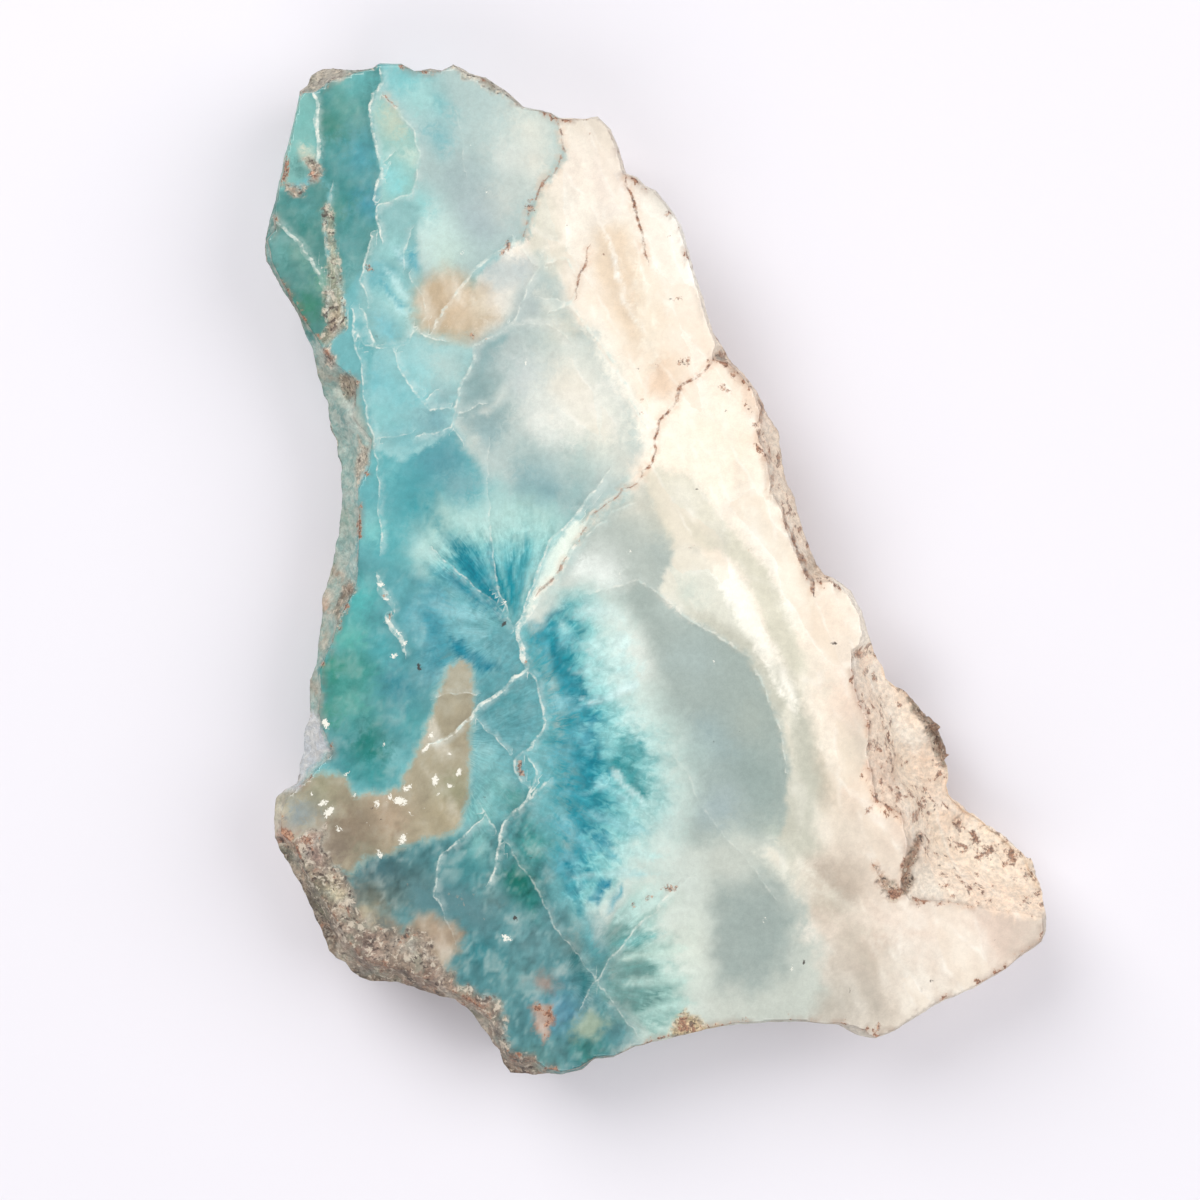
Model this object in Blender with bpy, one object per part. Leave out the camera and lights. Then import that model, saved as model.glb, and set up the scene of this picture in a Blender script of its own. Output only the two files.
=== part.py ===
# Larimar slab: one stone, sawn flat on its back and polished flat on its front, with rough broken sides.
# The slab lies on its back. +Z is up out of the polished face, +Y runs to the narrow end,
# and the origin is the middle of the back. Outlines are written in millimetres.

import math
import random

import bmesh
import bpy
import numpy as np
from mathutils import Vector, noise
from mathutils.geometry import delaunay_2d_cdt

MM = 0.001
THICKNESS = 12.0
OUTLINE_STEP = 1.5
MARGIN_STEP = 1.25
FACE_STEP = 7.0
WALL_ROWS = 7
SMOOTHING_REACH = 5

# The widest reach of the stone, seen square on to the polished face, clockwise from the narrow end.
BODY_OUTLINE = [
    (-34.9, 50.0), (-34.2, 50.6), (-32.5, 50.9), (-30.2, 50.4), (-28.5, 50.6), (-27.7, 51.0),
    (-25.5, 51.0), (-24.2, 50.3), (-22.6, 50.5), (-21.5, 50.3), (-20.3, 51.0), (-18.6, 50.1),
    (-17.0, 49.7), (-15.2, 48.4), (-13.2, 46.7), (-10.5, 46.1), (-9.6, 45.6), (-7.2, 45.5),
    (-5.8, 45.7), (-4.4, 44.3), (-3.6, 42.4), (-2.8, 40.0), (-1.8, 39.6), (-1.0, 38.7),
    (0.1, 38.2), (1.9, 36.0), (2.8, 34.6), (3.5, 31.8), (4.2, 29.6), (5.2, 26.2),
    (5.9, 24.0), (6.9, 22.5), (7.4, 21.3), (8.8, 19.9), (10.3, 18.1), (11.3, 16.2),
    (12.0, 14.8), (12.7, 14.1), (12.9, 10.8), (14.0, 7.8), (14.4, 6.0), (15.4, 3.1),
    (16.4, 0.7), (17.0, -0.4), (17.9, -0.7), (19.7, -2.0), (20.9, -4.2), (21.5, -6.2),
    (22.7, -8.9), (23.3, -9.6), (23.6, -10.8), (25.2, -11.8), (27.0, -13.7), (29.2, -16.3),
    (29.9, -18.0), (30.1, -20.4), (30.3, -22.6), (33.2, -25.0), (36.2, -27.2), (38.2, -29.3),
    (39.1, -31.7), (39.3, -35.0), (39.4, -36.3), (39.0, -37.4), (36.6, -39.0), (35.2, -40.2),
    (32.0, -42.1), (28.2, -43.7), (26.0, -45.1), (24.0, -46.5), (22.0, -47.2), (20.4, -47.0),
    (19.4, -46.4), (18.3, -45.7), (14.0, -45.5), (8.0, -45.7), (5.5, -46.2), (2.0, -47.0),
    (-2.0, -48.0), (-4.2, -49.1), (-6.0, -49.2), (-7.4, -50.2), (-9.3, -50.8), (-13.5, -51.0),
    (-14.8, -50.9), (-15.5, -49.9), (-15.8, -48.3), (-17.5, -46.3), (-19.0, -44.2), (-20.2, -43.2),
    (-23.5, -42.6), (-26.0, -41.6), (-29.2, -41.7), (-30.3, -41.3), (-31.1, -40.2), (-31.4, -39.7),
    (-32.5, -39.3), (-33.4, -37.6), (-34.6, -35.2), (-36.0, -31.7), (-37.9, -28.6), (-38.4, -27.0),
    (-38.6, -25.0), (-38.3, -22.7), (-37.4, -22.0), (-36.2, -21.3), (-36.0, -19.5), (-35.6, -16.0),
    (-34.9, -14.5), (-35.0, -13.3), (-35.0, -11.0), (-34.2, -9.4), (-34.2, -7.0), (-33.9, -3.0),
    (-33.2, 0.1), (-32.1, 3.6), (-32.2, 4.8), (-31.9, 6.3), (-32.1, 10.5), (-33.3, 15.9),
    (-34.4, 20.4), (-34.7, 22.2), (-36.2, 25.7), (-38.2, 29.1), (-39.2, 31.0), (-39.4, 32.6),
    (-39.3, 34.4), (-38.3, 37.5), (-37.5, 41.3), (-36.9, 43.3), (-36.2, 47.0), (-36.0, 48.3),
    (-35.1, 48.9),
]

# The edge of the polished face, in the same order. Between it and the body outline the stone falls away rough.
FACE_OUTLINE = [
    (-34.1, 47.9), (-33.2, 48.6), (-32.6, 49.2), (-31.0, 49.6), (-28.6, 50.3), (-27.6, 50.7),
    (-25.6, 50.7), (-24.2, 50.0), (-21.6, 50.0), (-20.3, 50.6), (-18.8, 49.8), (-17.1, 49.3),
    (-15.4, 48.0), (-13.3, 46.3), (-10.6, 45.8), (-9.7, 45.3), (-7.2, 45.2), (-5.9, 45.3),
    (-4.7, 44.1), (-3.9, 42.3), (-3.2, 39.8), (-2.0, 39.3), (-1.2, 38.4), (-0.1, 37.9),
    (1.6, 35.8), (2.5, 34.4), (3.2, 31.7), (3.9, 29.5), (4.9, 26.1), (5.5, 23.9),
    (6.1, 22.6), (5.8, 21.2), (7.2, 20.9), (8.4, 19.7), (9.8, 18.0), (10.3, 16.6),
    (10.7, 14.6), (10.4, 13.4), (11.3, 10.6), (11.6, 7.9), (12.7, 6.0), (13.2, 4.2),
    (14.2, 1.4), (15.7, -1.9), (16.2, -1.1), (17.6, -1.1), (19.3, -2.4), (20.4, -4.4),
    (20.8, -6.4), (20.4, -7.6), (19.7, -8.2), (19.7, -9.8), (20.2, -12.4), (21.5, -15.2),
    (21.2, -18.2), (21.8, -20.4), (22.1, -22.8), (24.6, -24.4), (25.3, -27.6), (24.6, -31.8),
    (25.4, -32.9), (28.6, -32.9), (33.2, -33.8), (36.2, -34.1), (38.8, -34.6), (39.0, -36.2),
    (38.6, -37.3), (36.4, -38.7), (35.0, -39.9), (31.9, -41.8), (28.0, -43.4), (25.8, -44.8),
    (23.8, -46.2), (22.0, -46.9), (21.2, -46.6), (20.8, -46.1), (19.6, -45.7), (18.0, -45.4),
    (14.0, -45.2), (8.0, -45.4), (5.4, -45.9), (2.0, -46.7), (-2.1, -47.7), (-4.2, -48.7),
    (-6.1, -48.9), (-7.6, -49.9), (-9.5, -50.4), (-11.0, -50.0), (-12.2, -49.2), (-14.6, -48.8),
    (-15.3, -47.6), (-16.3, -45.5), (-17.6, -43.8), (-20.0, -42.6), (-22.5, -41.3), (-25.0, -40.2),
    (-28.0, -39.6), (-29.7, -38.8), (-31.3, -36.5), (-33.5, -33.0), (-35.0, -30.2), (-36.4, -27.5),
    (-37.7, -26.4), (-37.7, -24.2), (-37.0, -22.6), (-34.8, -20.8), (-32.5, -18.3), (-33.4, -16.0),
    (-33.9, -14.3), (-33.6, -12.0), (-33.8, -9.9), (-32.6, -7.5), (-31.9, -5.0), (-30.3, -2.2),
    (-29.9, 0.0), (-29.9, 8.2), (-28.8, 10.4), (-28.6, 12.9), (-30.4, 15.2), (-30.0, 17.4),
    (-30.2, 19.0), (-32.2, 20.6), (-33.6, 22.4), (-35.8, 25.8), (-37.8, 29.2), (-38.6, 31.2),
    (-38.9, 33.0), (-38.2, 34.2), (-38.4, 35.6), (-37.9, 37.6), (-37.1, 41.4), (-36.5, 43.4),
    (-35.8, 47.0), (-35.4, 47.9),
]

# How far the silhouette lies below the polished face: a little beside a sharp edge, more where the break is wide.
RIM_DROP = {"least": 0.9, "per_mm_of_margin": 0.72, "most": 6.8}
# The break on the wide side turns up into a lip of outer rind. Centre, reach and height.
RIND_LIP = {"x": 28.6, "y": -16.5, "reach": 4.2, "height": 1.5}
# Beside the deep notch the break starts with a step down from the face. Ends of the step, reach and depth.
NOTCH_STEP = {"x": (25.4, 25.6), "y": (-24.8, -32.4), "reach": 1.9, "depth": 1.2}
# Hollows where soft matrix has come away: x, y, radius and depth.
HOLLOWS = [
    (-31.1, 18.3, 1.3, 0.9),
    (-29.7, 11.6, 1.2, 0.7),
    (-31.1, 1.5, 0.9, 0.5),
    (-31.3, -2.8, 1.1, 0.6),
    (6.6, 21.6, 0.8, 1.0),
    (-33.9, -12.8, 0.9, 0.6),
    (-32.9, -36.8, 1.0, 0.7),
    (-21.9, -42.0, 0.9, 0.6),
    (27.6, -20.6, 1.0, 0.6),
    (26.4, -26.6, 1.3, 0.8),
    (35.4, -29.0, 1.1, 0.5),
]
# Where the margin is narrow the side leans in under the face.
UNDERCUT = {"most": 1.7, "margin": 2.6}
LUMPS = {"size": 4.2, "height": 0.55}
GRAIN = {"size": 1.7, "height": 0.28}
WALL_RELIEF = {"size": 3.4, "depth": 1.1, "ledge": 0.45}

LARIMAR = {"colour": (0.33, 0.63, 0.64, 1.0), "roughness": 0.25}


def resampled(outline, step):
    """Points along a closed outline, no further apart than step. Corners stay."""
    points = []
    for start, end in zip(outline, outline[1:] + outline[:1]):
        parts = max(1, math.ceil(math.dist(start, end) / step))
        for part in range(parts):
            share = part / parts
            points.append((start[0] + (end[0] - start[0]) * share, start[1] + (end[1] - start[1]) * share))
    return np.array(points)


def distance_to_outline(points, outline):
    """Distance of each point to the nearest edge of a closed outline."""
    nearest = np.full(len(points), np.inf)
    for start, end in zip(outline, np.roll(outline, -1, axis=0)):
        along = end - start
        share = np.clip(((points - start) @ along) / (along @ along), 0.0, 1.0)
        gap = points - (start + share[:, None] * along)
        nearest = np.minimum(nearest, np.hypot(gap[:, 0], gap[:, 1]))
    return nearest


def is_inside(points, outline):
    """True for each point inside a closed outline, by counting the edges to its right."""
    inside = np.zeros(len(points), bool)
    x, y = points[:, 0], points[:, 1]
    for (x0, y0), (x1, y1) in zip(outline, np.roll(outline, -1, axis=0)):
        if y0 == y1:
            continue
        crosses = (y0 > y) != (y1 > y)
        inside ^= crosses & (x < (x1 - x0) * (y - y0) / (y1 - y0) + x0)
    return inside


def outward_normals(ring):
    """Outward directions along a clockwise ring, averaged over neighbours so that an inset can't cross itself."""
    tangent = np.roll(ring, -1, axis=0) - np.roll(ring, 1, axis=0)
    normal = np.column_stack([-tangent[:, 1], tangent[:, 0]])
    total = np.zeros_like(normal)
    for shift in range(-SMOOTHING_REACH, SMOOTHING_REACH + 1):
        total += np.roll(normal, shift, axis=0)
    return total / np.linalg.norm(total, axis=1)[:, None]


def scattered(outline, step, seed):
    """A slightly uneven grid of points over the box of an outline."""
    draw = random.Random(seed)
    low, high = outline.min(axis=0), outline.max(axis=0)
    columns, rows = np.ceil((high - low) / step).astype(int)
    jitter = 0.22 * step
    points = [
        (
            low[0] + (column + 0.5 * (row % 2)) * step + draw.uniform(-jitter, jitter),
            low[1] + row * step + draw.uniform(-jitter, jitter),
        )
        for row in range(rows + 1)
        for column in range(columns + 1)
    ]
    return np.array(points)


def relief(point, shape):
    """Smooth noise, from minus one to one, at the size that shape gives."""
    return noise.noise(Vector(point) / shape["size"])


def smooth_step(low, high, value):
    share = min(1.0, max(0.0, (value - low) / (high - low)))
    return share * share * (3.0 - 2.0 * share)


def rim_drop(margin):
    return min(RIM_DROP["most"], RIM_DROP["least"] + RIM_DROP["per_mm_of_margin"] * margin)


def step_depth(x, y):
    """The extra fall just outside the face beside the notch, fading away from it."""
    across = abs(x - NOTCH_STEP["x"][0])
    past = max(0.0, NOTCH_STEP["y"][1] - y, y - NOTCH_STEP["y"][0])
    return NOTCH_STEP["depth"] * (1.0 - smooth_step(0.0, NOTCH_STEP["reach"], math.hypot(across, past)))


def hollow_depth(x, y):
    """How deep the matrix hollows cut here."""
    depth = 0.0
    for centre_x, centre_y, radius, most in HOLLOWS:
        gap = math.hypot(x - centre_x, y - centre_y) / radius
        depth = max(depth, most * (1.0 - smooth_step(0.35, 1.0, gap)))
    return depth


def margin_height(x, y, from_face, from_body):
    """Height of the rough margin between the polished face and the silhouette."""
    margin = from_face + from_body
    share = from_face / margin
    terrace = 0.55 * share + 0.45 * smooth_step(0.12, 0.5, share)
    fall = rim_drop(margin) * terrace
    fall += step_depth(x, y) * (1.0 - share) + hollow_depth(x, y)
    lip_gap = math.hypot(x - RIND_LIP["x"], y - RIND_LIP["y"]) / RIND_LIP["reach"]
    fall -= RIND_LIP["height"] * (1.0 - smooth_step(0.2, 1.0, lip_gap)) * share
    fall += (LUMPS["height"] * relief((x, y, 0.0), LUMPS) + GRAIN["height"] * relief((x, y, 9.0), GRAIN)) * min(
        1.0, from_face / 1.2
    )
    return THICKNESS - max(0.15, fall)


def front_points(body, face):
    """The flat points of the front: both rings, the rough margin between them, and a few over the face."""
    margin = scattered(body, MARGIN_STEP, seed=11)
    clear = 0.45 * MARGIN_STEP
    keep = is_inside(margin, body) & ~is_inside(margin, face)
    keep &= (distance_to_outline(margin, body) > clear) & (distance_to_outline(margin, face) > clear)
    polished = scattered(face, FACE_STEP, seed=5)
    keep_polished = is_inside(polished, face) & (distance_to_outline(polished, face) > 0.4 * FACE_STEP)
    return np.vstack([body, face, margin[keep], polished[keep_polished]])


def ring_edges(first, count):
    return [(first + i, first + (i + 1) % count) for i in range(count)]


def wall_rows(body, rim_heights, margins):
    """Rings down the side, from the silhouette to the back, each with its heights."""
    normals = outward_normals(body)
    lean = UNDERCUT["most"] * np.clip(1.0 - margins / UNDERCUT["margin"], 0.0, 1.0)
    rows = []
    for row in range(1, WALL_ROWS + 1):
        down = row / WALL_ROWS
        ring = np.empty((len(body), 3))
        for i, (x, y) in enumerate(body):
            height = rim_heights[i] * (1.0 - down)
            dent = 0.5 + 0.5 * relief((x, y, height), WALL_RELIEF)
            ledge = WALL_RELIEF["ledge"] * abs(relief((x, y, 2.6 * height), LUMPS))
            inset = lean[i] * down + (WALL_RELIEF["depth"] * dent + ledge) * math.sin(0.5 * math.pi * min(1.0, 2.2 * down))
            ring[i] = (x - normals[i, 0] * inset, y - normals[i, 1] * inset, height)
        rows.append(ring)
    return rows


def build_slab():
    body = resampled(BODY_OUTLINE, OUTLINE_STEP)
    face = resampled(FACE_OUTLINE, OUTLINE_STEP)
    flat = front_points(body, face)
    edges = ring_edges(0, len(body)) + ring_edges(len(body), len(face))
    placed, _, triangles, _, _, _ = delaunay_2d_cdt([Vector(p) for p in flat], edges, [], 1, 1e-4)
    if len(placed) != len(flat):
        raise ValueError("the outlines cross")

    from_face = distance_to_outline(flat, face)
    from_body = distance_to_outline(flat, body)
    on_margin = ~is_inside(flat, face)
    on_margin[len(body):len(body) + len(face)] = False
    heights = [
        margin_height(x, y, from_face[i], from_body[i]) if on_margin[i] else THICKNESS
        for i, (x, y) in enumerate(flat)
    ]

    mesh = bmesh.new()
    front = [mesh.verts.new((x * MM, y * MM, z * MM)) for (x, y), z in zip(flat, heights)]
    for corners in triangles:
        mesh.faces.new([front[i] for i in corners])

    above = front[:len(body)]
    for ring in wall_rows(body, heights[:len(body)], from_face[:len(body)]):
        below = [mesh.verts.new(Vector(point) * MM) for point in ring]
        for i in range(len(body)):
            after = (i + 1) % len(body)
            mesh.faces.new([above[i], above[after], below[after], below[i]])
        above = below
    back_edges = [mesh.edges.get((above[i], above[(i + 1) % len(above)])) for i in range(len(above))]
    bmesh.ops.triangle_fill(mesh, use_beauty=True, edges=back_edges, normal=(0.0, 0.0, -1.0))
    bmesh.ops.triangulate(mesh, faces=[face for face in mesh.faces if len(face.verts) > 3])
    bmesh.ops.recalc_face_normals(mesh, faces=mesh.faces)
    return mesh


def larimar_material():
    material = bpy.data.materials.new("larimar")
    material.use_nodes = True
    shader = material.node_tree.nodes["Principled BSDF"]
    shader.inputs["Base Color"].default_value = LARIMAR["colour"]
    shader.inputs["Roughness"].default_value = LARIMAR["roughness"]
    shader.inputs["Metallic"].default_value = 0.0
    return material


def main():
    for old in list(bpy.data.objects):
        bpy.data.objects.remove(old)
    solid = build_slab()
    mesh = bpy.data.meshes.new("larimar_slab")
    solid.to_mesh(mesh)
    solid.free()
    mesh.materials.append(larimar_material())
    slab = bpy.data.objects.new("larimar_slab", mesh)
    bpy.context.scene.collection.objects.link(slab)


main()
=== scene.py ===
import math

import bpy
import numpy as np
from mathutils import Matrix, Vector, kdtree


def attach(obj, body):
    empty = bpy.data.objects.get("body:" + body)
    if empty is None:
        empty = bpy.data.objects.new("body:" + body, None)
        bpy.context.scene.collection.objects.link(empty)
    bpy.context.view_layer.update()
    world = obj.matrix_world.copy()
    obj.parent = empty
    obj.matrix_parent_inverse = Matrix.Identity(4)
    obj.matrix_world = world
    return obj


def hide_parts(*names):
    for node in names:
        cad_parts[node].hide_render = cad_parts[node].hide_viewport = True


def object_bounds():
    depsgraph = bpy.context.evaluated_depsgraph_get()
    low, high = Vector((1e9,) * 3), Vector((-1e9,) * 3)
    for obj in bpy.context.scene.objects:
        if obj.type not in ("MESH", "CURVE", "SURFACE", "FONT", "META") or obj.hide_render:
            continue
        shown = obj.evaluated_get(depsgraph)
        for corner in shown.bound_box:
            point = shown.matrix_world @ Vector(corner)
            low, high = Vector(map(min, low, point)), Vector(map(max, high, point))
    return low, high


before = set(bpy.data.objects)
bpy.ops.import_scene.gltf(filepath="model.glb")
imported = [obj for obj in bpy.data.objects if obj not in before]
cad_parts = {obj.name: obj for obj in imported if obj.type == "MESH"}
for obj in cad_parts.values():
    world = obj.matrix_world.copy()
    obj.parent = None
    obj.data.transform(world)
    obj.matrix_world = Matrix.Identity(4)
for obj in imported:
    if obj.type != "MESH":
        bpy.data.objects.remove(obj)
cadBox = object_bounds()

# A larimar slab lying on its sawn back, polished face up, seen square on from above.
# Outlines and places on the stone are in millimetres, in the slab's own frame: x to the right, y to the narrow end.

mm = 0.001

slab = {
    "thickness": 12.0,
    "faceCells": 300,  # rows and columns of the polished face's mesh
    "backCells": 90,
    "sideCuts": 3,  # how finely the rough sides are divided
    "overrun": 1.6,  # how far the sides run past the two saw cuts before they are cut off
    "chips": {"size": 2.6, "depth": 0.75},
    "lumps": {"size": 3.4, "depth": 0.7},
    "grit": {"size": 0.55, "depth": 0.30},
    "grainLean": -62.0,  # degrees from the x axis along which the stone is drawn out
    "crustColour": (164, 140, 118),
    "dirtColour": (132, 96, 76),
    "sheen": 0.03,  # white that the gloss adds to the picture
    "contrast": 1.08,
}


# colours are written as sRGB, 0 to 255
def linear(colour):
    c = np.array(colour, float) / 255.0
    return np.where(c <= 0.04045, c / 12.92, ((c + 0.055) / 1.055) ** 2.4)

noiseTable = np.random.default_rng(4).uniform(-1.0, 1.0, (256, 256))

def noise(x, y, seed=0):
    x = x + seed * 17.3
    y = y + seed * 9.1
    ix, iy = np.floor(x).astype(int), np.floor(y).astype(int)
    fx, fy = x - ix, y - iy
    fx = fx * fx * (3 - 2 * fx)
    fy = fy * fy * (3 - 2 * fy)
    a = noiseTable[ix % 256, iy % 256]
    b = noiseTable[(ix + 1) % 256, iy % 256]
    c = noiseTable[ix % 256, (iy + 1) % 256]
    d = noiseTable[(ix + 1) % 256, (iy + 1) % 256]
    return (a + (b - a) * fx) * (1 - fy) + (c + (d - c) * fx) * fy

def clouds(x, y, size, seed=0, octaves=4):
    total = np.zeros_like(x)
    strength, whole = 1.0, 0.0
    for octave in range(octaves):
        k = 2.0 ** octave / size
        total += strength * noise(x * k, y * k, seed + octave * 3)
        whole += strength
        strength *= 0.55
    return total / whole * 1.6

def smoothStep(low, high, value):
    share = np.clip((value - low) / (high - low), 0.0, 1.0)
    return share * share * (3.0 - 2.0 * share)

def segmentGaps(x, y, points, closed=False):
    # for the nearest segment: distance, which side, share of the way along
    pts = np.array(points, float)
    ends = np.roll(pts, -1, axis=0) if closed else pts[1:]
    starts = pts if closed else pts[:-1]
    best = np.full(x.shape, 1e9)
    side = np.ones(x.shape)
    along = np.zeros(x.shape)
    lengths = np.hypot(*(ends - starts).T)
    total = lengths.sum()
    done = 0.0
    for (x0, y0), (x1, y1), length in zip(starts, ends, lengths):
        dx, dy = x1 - x0, y1 - y0
        t = np.clip(((x - x0) * dx + (y - y0) * dy) / (length * length + 1e-12), 0, 1)
        gx, gy = x - (x0 + t * dx), y - (y0 + t * dy)
        gap = np.hypot(gx, gy)
        nearer = gap < best
        best = np.where(nearer, gap, best)
        side = np.where(nearer, np.sign(dx * gy - dy * gx + 1e-12), side)
        along = np.where(nearer, (done + t * length) / total, along)
        done += length
    return best, side, along

def inside(x, y, points):
    hit = np.zeros(x.shape, bool)
    pts = list(points)
    for (x0, y0), (x1, y1) in zip(pts, pts[1:] + pts[:1]):
        if y0 == y1:
            continue
        hit ^= ((y0 > y) != (y1 > y)) & (x < (x1 - x0) * (y - y0) / (y1 - y0) + x0)
    return hit

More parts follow.
